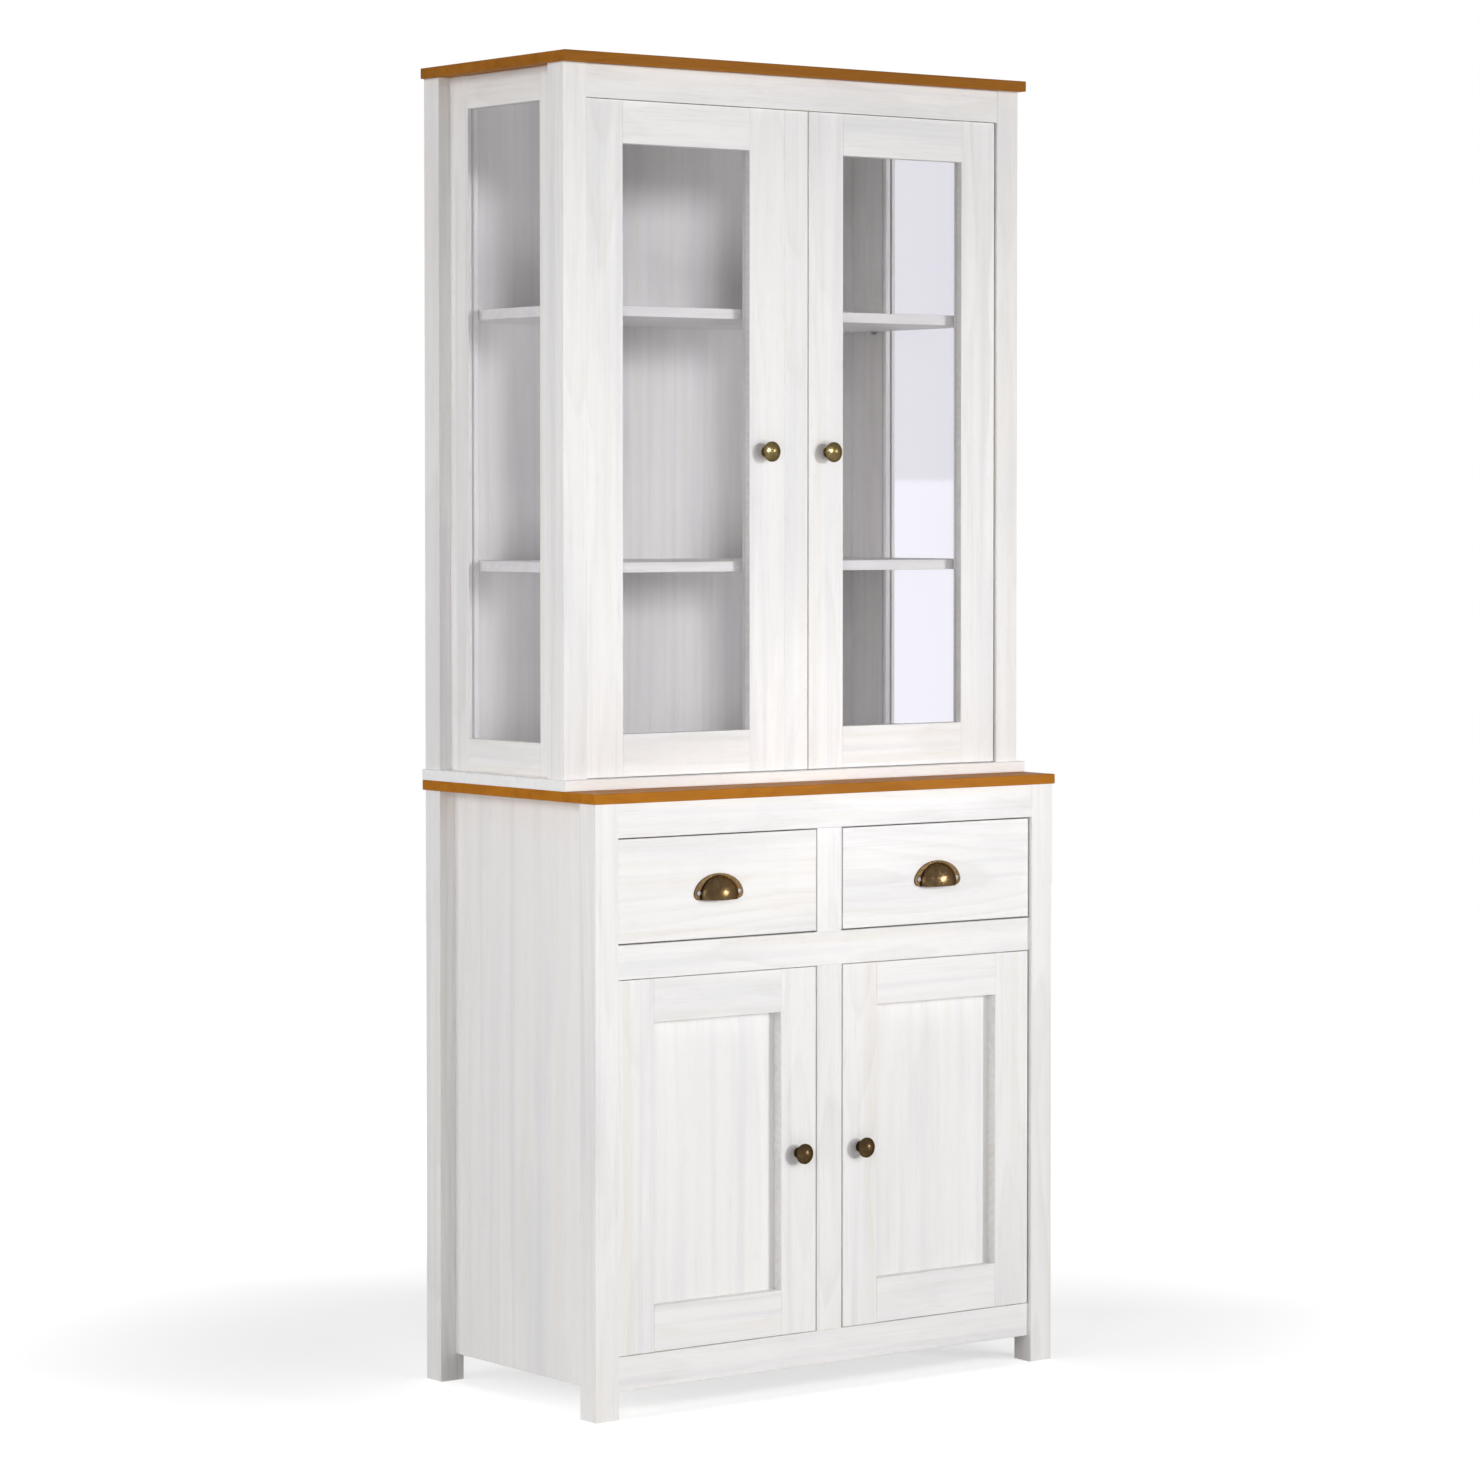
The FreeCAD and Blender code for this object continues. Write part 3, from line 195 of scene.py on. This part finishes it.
def frame_space(net, at, layout):
    """Across, along and a seed for a frame: uprights at the ends of its width, and rails between them."""
    (low, high), (bottom, top) = layout["width"], layout["height"]
    inner_low, inner_high = layout["inner_width"]
    inner_bottom, inner_top = layout["inner_height"]
    w, h = at[AXES[layout["axis"]]], at[AXES[layout["up"]]]
    on_right = net.math("GREATER_THAN", w, inner_high)
    upright = net.add(net.math("LESS_THAN", w, inner_low), on_right)
    is_top = net.math("GREATER_THAN", h, (bottom + top) / 2)
    stile_middle = net.add((low + inner_low) / 2,
                           net.mul(on_right, (high + inner_high - low - inner_low) / 2))
    rail_middle = net.add((bottom + inner_bottom) / 2,
                          net.mul(is_top, (top + inner_top - bottom - inner_bottom) / 2))
    across = net.blend(upright, net.sub(h, rail_middle), net.sub(w, stile_middle))
    seed = net.blend(upright, net.add(2.0, is_top), on_right)
    return across, net.blend(upright, w, h), seed


def grain_space(net, at, along, face, centre, layout):
    """A point's place across the face, into the board and along the grain, and what it adds to the seed."""
    depth = net.sub(at[AXES[face]], centre[AXES[face]])
    if layout and layout["kind"] == "frame":
        across, length, seed = frame_space(net, at, layout)
        return across, depth, length, seed
    other = "xyz".replace(along, "").replace(face, "")
    across = net.sub(at[AXES[other]], centre[AXES[other]])
    seed = net.math("GREATER_THAN", at[AXES[layout["axis"]]], layout["cut"]) if layout else None
    return across, depth, at[AXES[along]], seed


def arris_mask(net, at, low, high, width):
    """1 on the arrises of a box and 0 away from them: where two of the distances to its faces are small."""
    gaps = [net.math("MINIMUM", net.math("ABSOLUTE", net.sub(at[k], low[k])),
                     net.math("ABSOLUTE", net.sub(high[k], at[k]))) for k in range(3)]
    small, large = net.math("MINIMUM", gaps[0], gaps[1]), net.math("MAXIMUM", gaps[0], gaps[1])
    middle = net.math("MAXIMUM", small, net.math("MINIMUM", large, gaps[2]))
    return net.ramp(middle, 0.0, width, 1.0, 0.0)


# ---------------------------------------------------------------- wood finishes
# Colours, then the strength of each figure, the span of the roughness, and in metres the depth of the relief,
# the width of a growth ring and the depth at which the pith lies; last the specular level.
WHITE = {
    "base": colour("#F7F5F4"), "warm": colour("#F0ECE7"), "cool": colour("#E8E7E9"),
    "late": colour("#D6D1CA"), "pore": colour("#CFC8BE"), "worn": colour("#E9E0D0"),
    "rings": 0.30, "streak": 0.72, "cloud": 0.55, "pores": 0.24, "fibre": 0.18, "wear": 0.35,
    "rough": (0.40, 0.52), "relief": 0.00012, "ring": 0.013, "pith": 0.07, "gloss": 0.40,
}
PLY = dict(WHITE, rings=0.15, ring=0.031, pith=0.05, streak=0.55, fibre=0.10, relief=0.00008)
# the hutch's base board is a little whiter: painted light that lifts the shade and brown bounce it gets over
# the worktop
PAINTED_LIGHT_SILL = dict(WHITE, base=colour("#FEFDFD"), warm=colour("#FAF8F5"), cool=colour("#F3F3F4"), rings=0.2)
BROWN = {
    "base": colour("#B67218"), "warm": colour("#C47F20"), "cool": colour("#A36312"),
    "late": colour("#90540E"), "pore": colour("#73410C"), "worn": colour("#C88E36"),
    "rings": 0.40, "streak": 0.6, "cloud": 0.45, "pores": 0.30, "fibre": 0.2, "wear": 0.35,
    "rough": (0.40, 0.50), "relief": 0.0001, "ring": 0.008, "pith": 0.06, "gloss": 0.06,
}
# the top board took the stain a little darker
DARK = dict(BROWN, base=colour("#A56716"), warm=colour("#B1731D"), cool=colour("#945A10"),
            late=colour("#824C0D"), pore=colour("#683B0B"), worn=colour("#B58131"))
# how far from an arris the stain is rubbed, and the patches of the rubbing per metre
ARRIS, PATCHES = 2.2 * MM, 34.0


def wood(name, node, finish, along, face, seed, layout=None):
    """Stained pine for one CAD node, with the grain along one axis and the face square to another."""
    made, net, shader, _ = material(name)
    low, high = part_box(node)
    centre = [(low[k] + high[k]) / 2 for k in range(3)]
    at = net.place()
    across, depth, length, boards = grain_space(net, at, along, face, centre, layout)
    part = float(seed) if boards is None else net.add(boards, float(seed))
    group = net.node("Group", node_tree=FIGURE)
    for place, value in enumerate((across, depth, length, part, finish["ring"], finish["pith"])):
        net.feed(group.inputs[place], value)
    rings, fibre, streak, cloud, pores = (group.outputs[k] for k in range(5))

    # each figure tints the stain by the finish's own strength, from one level of its noise to another
    shade = finish["base"]
    for mask, strength, tone in (
        (net.ramp(streak, 0.48, 0.72), "streak", "warm"),
        (net.ramp(streak, 0.50, 0.28), "streak", "cool"),
        (net.ramp(cloud, 0.46, 0.70), "cloud", "cool"),
        (rings, "rings", "late"),
        (net.ramp(fibre, 0.52, 0.75), "fibre", "late"),
        (pores, "pores", "pore"),
    ):
        shade = net.tint(net.mul(mask, finish[strength]), shade, finish[tone])
    # the stain is rubbed thin along the arrises
    patches = net.noise(net.vector(*(net.mul(v, PATCHES) for v in at)), detail=3.0)
    rubbed_and_painted_highlight = net.mul(arris_mask(net, at, low, high, ARRIS), net.ramp(patches, 0.42, 0.66))
    shade = net.tint(net.mul(rubbed_and_painted_highlight, finish["wear"]), shade, finish["worn"])
    net.feed(shader.inputs["Base Color"], shade)

    shader.inputs["Specular IOR Level"].default_value = finish["gloss"]
    # fibres and clouds are duller; rings and pores lie lower than the fibres
    dull = net.add(net.mul(fibre, 0.6), net.mul(cloud, 0.4))
    net.feed(shader.inputs["Roughness"], net.ramp(dull, 0.3, 0.7, *finish["rough"], smooth=False))
    height = net.sub(net.add(net.mul(fibre, 0.5), net.mul(rings, -0.6)), net.mul(pores, 0.7))
    bump(net, shader, height, finish["relief"])
    dress(node, made)
    return made


def split(axis, cut):
    """Two boards of one node, on either side of a place on an axis."""
    return {"kind": "split", "axis": axis, "cut": cut}


def frame_layout(node, axis, up, stile, top, bottom):
    """Where a frame's members lie, from its node's box and the members' widths in millimetres."""
    low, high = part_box(node)
    w, h = AXES[axis], AXES[up]
    return {"kind": "frame", "axis": axis, "up": up,
            "width": (low[w], high[w]), "height": (low[h], high[h]),
            "inner_width": (low[w] + stile * MM, high[w] - stile * MM),
            "inner_height": (low[h] + bottom * MM, high[h] - top * MM)}


# uprights and panels: each with its node, its finish, the axes of its grain and its face, and its seed
wood("leg left stain", "front_leg_left", WHITE, "z", "y", 3)
wood("leg right stain", "front_leg_right", WHITE, "z", "y", 8)
wood("rear leg stain", "rear_legs", WHITE, "z", "x", 13, split("x", 0.0))
wood("post left stain", "front_post_left", WHITE, "z", "y", 17)
wood("post right stain", "front_post_right", WHITE, "z", "y", 22)
wood("rear post stain", "rear_posts", WHITE, "z", "x", 27, split("x", 0.0))
wood("side left stain", "base_side_left", PLY, "z", "x", 31)
wood("side right stain", "base_side_right", PLY, "z", "x", 36)
wood("partition stain", "base_partition", PLY, "z", "x", 41)
wood("centre stile stain", "centre_stiles", WHITE, "z", "y", 44, split("z", 0.70))
wood("meeting strip stain", "glass_door_left_strip", WHITE, "z", "y", 49)
wood("base back stain", "base_back", PLY, "z", "y", 52)
wood("hutch back stain", "hutch_back", PLY, "z", "y", 57)
wood("panel left stain", "cupboard_door_left_panel", PLY, "z", "y", 62)
wood("panel right stain", "cupboard_door_right_panel", PLY, "z", "y", 67)
# boards that lie across
wood("top rail stain", "base_top_rail", WHITE, "x", "y", 71)
wood("middle rail stain", "base_mid_rail", WHITE, "x", "y", 76)
wood("bottom rail stain", "base_bottom_rail", WHITE, "x", "y", 81)
wood("bottom board stain", "base_bottom", WHITE, "x", "z", 86)
wood("cupboard shelf stain", "base_shelves", WHITE, "x", "z", 91, split("x", 0.0))
# its whiter finish is painted light against the shade it gets over the worktop
wood("hutch base stain", "hutch_base_board", PAINTED_LIGHT_SILL, "x", "z", 95)
wood("lower shelf stain", "hutch_lower_shelf", WHITE, "x", "z", 101)
wood("upper shelf stain", "hutch_upper_shelf", WHITE, "x", "z", 106)
wood("hutch rail stain", "hutch_top_rail", WHITE, "x", "y", 111)
wood("drawer front left stain", "drawer_left_front", WHITE, "x", "y", 116)
wood("drawer front right stain", "drawer_right_front", WHITE, "x", "y", 121)
wood("runner stain", "drawer_runners", WHITE, "y", "x", 126, split("x", 0.0))
wood("drawer bottom left stain", "drawer_left_bottom", PLY, "x", "z", 131)
wood("drawer bottom right stain", "drawer_right_bottom", PLY, "x", "z", 136)
wood("worktop stain", "worktop", BROWN, "x", "z", 141)
top_stain = wood("hutch top stain", "hutch_top_board", DARK, "x", "z", 146)


def whiten_ceiling(made):
    """The underside of the top board is white where it is the ceiling of the hutch."""
    net = Net(made.node_tree)
    shader = next(node for node in made.node_tree.nodes if node.bl_idname == "ShaderNodeBsdfPrincipled")
    at = net.place()
    front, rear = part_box("hutch_top_rail")[1][1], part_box("hutch_back")[0][1]
    left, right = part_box("hutch_back")[0][0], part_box("hutch_back")[1][0]
    inside = net.math("LESS_THAN", at[2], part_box("hutch_top_board")[0][2] + 0.3 * MM)
    for value, low, high in ((at[0], left, right), (at[1], front, rear)):
        inside = net.mul(inside, net.math("GREATER_THAN", value, low))
        inside = net.mul(inside, net.math("LESS_THAN", value, high))
    stained = shader.inputs["Base Color"].links[0].from_socket
    net.feed(shader.inputs["Base Color"], net.tint(inside, stained, WHITE["base"]))


whiten_ceiling(top_stain)

# frames: the axes that they span, and the widths of their stiles, top rail and bottom rail
for k, side in enumerate(SIDES):
    for name, node, face, axis, up, widths, seed in (
        (f"glass door {side} stain", f"glass_door_{side}_frame", "y", "x", "z", (68.4, 65.4, 65.4), 151),
        (f"cupboard door {side} stain", f"cupboard_door_{side}_frame", "y", "x", "z",
         (67.8, 66.6, 70.0), 171),
        (f"hutch side {side} stain", f"hutch_side_frame_{side}", "x", "y", "z", (51.4, 51.4, 51.4), 191),
        (f"glass door {side} bead stain", f"glass_door_{side}_beads", "y", "x", "z", (8.0, 8.0, 8.0), 211),
        (f"drawer {side} box stain", f"drawer_{side}_box", "z", "x", "y", (12.5, 12.5, 12.5), 231),
    ):
        wood(name, node, WHITE, None, face, seed + 9 * k, frame_layout(node, axis, up, *widths))
wood("hutch side bead stain", "hutch_side_beads", WHITE, None, "x", 251,
     frame_layout("hutch_side_beads", "y", "z", 8.0, 8.0, 8.0))


# ---------------------------------------------------------------- metal, glass, plastic
def bronze(name, dark, light, fleck):
    """Old bronze between two tones, with fine darker flecks, smoother where it is lighter."""
    made, net, shader, _ = material(name)
    place = net.node("TexCoord").outputs["Object"]
    patina = net.noise(place, scale=95.0, detail=4.0, rough=0.6)
    fine = net.noise(place, scale=900.0)
    shade = net.tint(net.ramp(patina, 0.38, 0.68), colour(dark), colour(light))
    shade = net.tint(net.mul(net.ramp(fine, 0.5, 0.8), 0.4), shade, colour(fleck))
    net.feed(shader.inputs["Base Color"], shade)
    shader.inputs["Metallic"].default_value = 1.0
    shader.inputs["Specular Tint"].default_value = (0.45, 0.40, 0.34, 1.0)
    net.feed(shader.inputs["Roughness"], net.ramp(patina, 0.35, 0.7, 0.31, 0.25, smooth=False))
    bump(net, shader, net.add(net.mul(patina, 0.5), net.mul(fine, 0.3)), 0.00002)
    return made


def steel(name):
    """Brushed plated steel, with the marks level."""
    made, net, shader, _ = material(name)
    at = net.place()
    brushed = net.noise(net.vector(net.mul(at[0], 60.0), net.mul(at[1], 60.0), net.mul(at[2], 2400.0)))
    blotch = net.noise(net.vector(*(net.mul(v, 140.0) for v in at)), detail=3.0)
    shade = net.tint(net.ramp(blotch, 0.35, 0.7), colour("#B9BABD"), colour("#9C9DA1"))
    net.feed(shader.inputs["Base Color"], shade)
    shader.inputs["Metallic"].default_value = 1.0
    net.feed(shader.inputs["Roughness"], net.ramp(brushed, 0.3, 0.7, 0.24, 0.38, smooth=False))
    bump(net, shader, brushed, 0.00002)
    return made


def plastic(name):
    """White moulded plastic with a fine grit."""
    made, net, shader, _ = material(name)
    place = net.node("TexCoord").outputs["Object"]
    grit = net.noise(place, scale=1400.0)
    shade = net.tint(net.noise(place, scale=60.0), colour("#E6E4DF"), colour("#DAD7D0"))
    net.feed(shader.inputs["Base Color"], shade)
    net.feed(shader.inputs["Roughness"], net.ramp(grit, 0.3, 0.7, 0.42, 0.56, smooth=False))
    bump(net, shader, grit, 0.00003)
    return made


def glass(name):
    """Clear float glass with faint smears. Light from the lamps passes straight through it."""
    made, net, shader, out = material(name)
    shader.inputs["Base Color"].default_value = (0.965, 0.962, 0.985, 1.0)
    shader.inputs["Transmission Weight"].default_value = 1.0
    shader.inputs["IOR"].default_value = 1.3
    smear = net.noise(net.node("TexCoord").outputs["Object"], scale=11.0, detail=4.0, rough=0.6)
    net.feed(shader.inputs["Roughness"], net.ramp(smear, 0.55, 0.8, 0.0, 0.035, smooth=False))
    clear = net.node("BsdfTransparent", {"Color": (0.90, 0.90, 0.905, 1.0)})
    path = net.node("LightPath")
    lamp = net.math("MAXIMUM", path.outputs["Is Shadow Ray"], path.outputs["Is Diffuse Ray"])
    both = net.node("MixShader", {"Fac": lamp})
    net.feed(both.inputs[1], shader.outputs[0])
    net.feed(both.inputs[2], clear.outputs[0])
    net.feed(out.inputs["Surface"], both.outputs[0])
    return made


aged = bronze("antique bronze", "#483927", "#53442D", "#372B1C")
cast = bronze("cast bronze", "#54422E", "#614F36", "#403221")
# a brighter copy of the bronze for the upper knobs: painted highlight for the glow of the lamps on their
# faces
rubbed_and_painted_highlight = bronze("rubbed bronze", "#5E5136", "#6E603E", "#463A25")
plated, moulded, clear_glass = steel("plated steel"), plastic("catch plastic"), glass("float glass")
for side in SIDES:
    dress(f"cupboard_door_{side}_knob", aged)
    dress(f"drawer_{side}_pull", cast)
    # the upper knobs, at hand height, get a brighter bronze: painted highlight for the lamps' glow that their
    # faces mirror
    dress(f"glass_door_{side}_knob", rubbed_and_painted_highlight)
    for node in (f"cupboard_door_{side}_pivots", f"glass_door_{side}_pivots"):
        dress(node, plated)
    for node in (f"glass_door_{side}_glass", f"hutch_side_glass_{side}"):
        dress(node, clear_glass)
dress("pivot_plates", plated)
dress("shelf_pins", plated)
dress("door_catches", moulded)


# ---------------------------------------------------------------- screws of the cup pulls
# a screw: the head's radius and rise, and the shank's radius and length
HEAD, RISE, SHANK, LENGTH = 3.6 * MM, 2.0 * MM, 1.75 * MM, 12.0 * MM
# how round the dome is, with 1 for a half ellipse, and the radius of the point by the shank's
ROUND, POINT = 0.82, 0.3
# the cross recess: half a slot's width, its middle and its reach by the head's radius, its depth by the
# rise, and how quickly it gets shallow
SLOT, MIDDLE, REACH, DEPTH, TAPER = 0.13, 0.16, 0.62, 0.75, 0.7
# the front of the pulls' flange, the height of the screws and half the distance between them
FLANGE_Y, SCREW_Z, HALF_SPACING = -220.9 * MM, 790.2 * MM, 38.0 * MM


def screw(name, x, y, z, body, turn):
    """A pan-head screw seen from the front: a domed head with a cross recess, and its shank behind it."""
    around, rings = 48, 14
    angles = [2 * math.pi * j / around for j in range(around)]
    points, faces = [], []
    for i in range(rings + 1):
        r = HEAD * i / rings
        dome = RISE * math.sqrt(max(0.0, 1 - (r / HEAD) ** 2 * ROUND))
        for angle in angles:
            # four slots that meet in the middle and get shallow away from it
            local = ((angle - turn + math.pi / 4) % (math.pi / 2)) - math.pi / 4
            off, out = abs(r * math.sin(local)), r * math.cos(local)
            in_slot = off < HEAD * SLOT or out < HEAD * MIDDLE
            slot = max(0.0, 1 - out / (HEAD * REACH)) ** TAPER if in_slot else 0.0
            points.append((x + r * math.cos(angle), y - dome + slot * RISE * DEPTH, z + r * math.sin(angle)))
    for r, back in ((HEAD, 0.0), (SHANK, 0.0), (SHANK, LENGTH - SHANK), (POINT * SHANK, LENGTH)):
        points += [(x + r * math.cos(angle), y + back, z + r * math.sin(angle)) for angle in angles]
    rows = rings + 5
    for i in range(rows - 1):
        for j in range(around):
            a, b = i * around + j, i * around + (j + 1) % around
            faces.append((a, b, b + around, a + around))
    faces.append(tuple((rows - 1) * around + j for j in reversed(range(around))))
    mesh = bpy.data.meshes.new(name)
    mesh.from_pydata(points, [], faces)
    work = bmesh.new()
    work.from_mesh(mesh)
    bmesh.ops.remove_doubles(work, verts=work.verts, dist=1e-7)
    bmesh.ops.recalc_face_normals(work, faces=work.faces)
    work.to_mesh(mesh)
    work.free()
    for face in mesh.polygons:
        face.use_smooth = True
    mesh.materials.append(plated)
    made = bpy.data.objects.new(name, mesh)
    bpy.context.scene.collection.objects.link(made)
    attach(made, body)


for side, sign in (("left", -1), ("right", 1)):
    low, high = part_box(f"drawer_{side}_pull")
    middle = (low[0] + high[0]) / 2
    for k, offset in enumerate((-HALF_SPACING, HALF_SPACING)):
        turn = 0.4 + 0.9 * k + 0.5 * sign   # no two recesses stand alike
        screw(f"drawer_{side}_pull_screw_{k + 1}", middle + offset, FLANGE_Y, SCREW_Z, f"{side}_drawer", turn)


# ---------------------------------------------------------------- floor, light, camera
# the floor's own glow under the object, and how far out it becomes plain white, in metres
GLOW, GLOW_NEAR, GLOW_FAR = 0.58, 0.7, 1.9
# through glass the background is a little darker and cooler, and has a horizon: its level above, what is
# added below, and the slopes between which it changes
ABOVE, ADDED_BELOW, HORIZON = 0.855, 0.167, (0.004, 0.006)
THROUGH_GLASS = (0.975, 0.965, 1.0, 1.0)
PLAIN_WHITE = (1.0, 1.0, 1.0, 1.0)


def seen_white(net):
    """The light path, and 1 for what the camera sees, directly, in metal or through glass."""
    path = net.node("LightPath")
    beyond = net.math("MAXIMUM", path.outputs["Is Glossy Ray"], path.outputs["Is Transmission Ray"])
    return path, net.math("MAXIMUM", path.outputs["Is Camera Ray"], beyond)


def stage_floor():
    """A white floor that keeps the object's shadow near it and is plain white further off."""
    size, count = 14.0, 8
    row = count + 1
    steps = [size * (k / count - 0.5) for k in range(row)]
    points = [(x, y, 0.0) for y in steps for x in steps]
    faces = [(j * row + i, j * row + i + 1, (j + 1) * row + i + 1, (j + 1) * row + i)
             for j in range(count) for i in range(count)]
    mesh = bpy.data.meshes.new("studio_floor")
    mesh.from_pydata(points, [], faces)
    made = bpy.data.objects.new("studio_floor", mesh)
    bpy.context.scene.collection.objects.link(made)
    mat, net, shader, out = material("studio floor")
    shader.inputs["Base Color"].default_value = (0.86, 0.86, 0.86, 1.0)
    shader.inputs["Roughness"].default_value = 0.9
    shader.inputs["Specular IOR Level"].default_value = 0.0
    seen = seen_white(net)[1]
    glow = net.node("Emission", {"Color": PLAIN_WHITE})
    place = net.node("TexCoord").outputs["Object"]
    away = net.node("VectorMath", {0: place}, operation="LENGTH").outputs["Value"]
    far = net.ramp(away, GLOW_NEAR, GLOW_FAR)
    net.feed(glow.inputs["Strength"], net.mul(seen, net.add(GLOW, net.mul(far, 1.0 - GLOW))))
    both = net.node("AddShader")
    net.feed(both.inputs[0], shader.outputs[0])
    net.feed(both.inputs[1], glow.outputs[0])
    net.feed(out.inputs["Surface"], both.outputs[0])
    mesh.materials.append(mat)


def light_world():
    """A dim world with a white background."""
    world = bpy.data.worlds.new("studio")
    bpy.context.scene.world = world
    world.use_nodes = True
    world.node_tree.nodes.clear()
    net = Net(world.node_tree)
    path, seen = seen_white(net)
    shade = net.node("Background", {"Color": (0.985, 0.985, 1.0, 1.0), "Strength": 0.05})
    below = net.ramp(net.place("Generated")[2], *HORIZON, 1.0, 0.0)
    through = path.outputs["Is Transmission Ray"]
    level = net.blend(through, 1.0, net.add(ABOVE, net.mul(below, ADDED_BELOW)))
    pale = net.tint(through, PLAIN_WHITE, THROUGH_GLASS)
    white = net.node("Background", {"Color": pale, "Strength": level})
    both = net.node("MixShader", {"Fac": seen})
    net.feed(both.inputs[1], shade.outputs[0])
    net.feed(both.inputs[2], white.outputs[0])
    net.node("OutputWorld", {"Surface": both.outputs[0]})


def sun(name, azimuth, height, strength, angle):
    """A sun whose light comes from an azimuth to the right of the front and a height, in degrees."""
    lamp = bpy.data.lights.new(name, "SUN")
    lamp.energy = strength
    lamp.angle = math.radians(angle)
    made = bpy.data.objects.new(name, lamp)
    bpy.context.scene.collection.objects.link(made)
    a, h = math.radians(azimuth), math.radians(height)
    source = Vector((math.sin(a) * math.cos(h), -math.cos(a) * math.cos(h), math.sin(h)))
    made.rotation_euler = source.to_track_quat("Z", "Y").to_euler()
    made.location = source * 4.0


def softbox(name, azimuth, height, distance, wide, tall, power, target=(0.0, 0.0), aim=None, spread=180.0):
    """A soft lamp at an azimuth and a distance from the target, aimed level or at a height of its own.

    It has a grid if the spread is narrow, and it shows neither to the camera nor in reflections.
    """
    lamp = bpy.data.lights.new(name, "AREA")
    lamp.shape = "RECTANGLE"
    lamp.size, lamp.size_y = wide, tall
    lamp.energy = power
    lamp.spread = math.radians(spread)
    made = bpy.data.objects.new(name, lamp)
    bpy.context.scene.collection.objects.link(made)
    a = math.radians(azimuth)
    aim = height if aim is None else aim
    back = Vector((math.sin(a) * distance, -math.cos(a) * distance, height - aim))
    made.location = Vector((*target, aim)) + back
    made.rotation_euler = back.to_track_quat("Z", "Y").to_euler()
    made.visible_camera = False
    made.visible_glossy = False
    made.visible_transmission = False
    return made


stage_floor()
light_world()
sun("key", azimuth=31.0, height=7.5, strength=1.17, angle=10.0)
sun("left fill", azimuth=-98.0, height=12.0, strength=1.36, angle=40.0)
sun("back fill", azimuth=200.0, height=35.0, strength=0.42, angle=40.0)
softbox("side softbox", azimuth=-50.0, height=1.15, distance=2.2, wide=0.6, tall=1.2, power=9.2)
softbox("front softbox", azimuth=18.0, height=1.1, distance=1.9, wide=1.8, tall=0.5, power=11.6)
softbox("grid softbox", azimuth=-37.0, height=1.55, distance=2.4, wide=0.34, tall=1.5, power=0.05,
        target=(-0.21, -0.13), aim=1.45, spread=14.0)
# these two show in reflections alone, for the knobs and the pulls
for lamp in (
    softbox("knob strip", azimuth=-22.0, height=2.2, distance=3.0, wide=1.2, tall=0.7, power=8.0,
            aim=1.52, spread=18.0),
    softbox("pull spark", azimuth=29.0, height=1.35, distance=3.0, wide=0.22, tall=0.22, power=0.39,
            aim=0.87, spread=14.0),
):
    lamp.visible_diffuse = False
    lamp.visible_glossy = True

# the camera's place in metres, its focal length and sensor in millimetres, and its tilt below the level
# and turn to the right of the +y axis in degrees
EYE, FOCAL_LENGTH, SENSOR = (-4.494333, -5.985071, 1.383187), 114.4369, 36.0
TILT_DOWN, TURN_RIGHT = 1.97241, 36.84198
lens = bpy.data.cameras.new("camera")
lens.sensor_width = SENSOR
lens.lens = FOCAL_LENGTH
lens.shift_x, lens.shift_y = 0.0, -0.05
lens.clip_start, lens.clip_end = 0.1, 100.0
eye = bpy.data.objects.new("camera", lens)
eye.location = EYE
eye.rotation_euler = (math.radians(90.0 - TILT_DOWN), 0.0, math.radians(-TURN_RIGHT))
bpy.context.scene.collection.objects.link(eye)
bpy.context.scene.camera = eye
bpy.context.scene.view_settings.view_transform = "Standard"
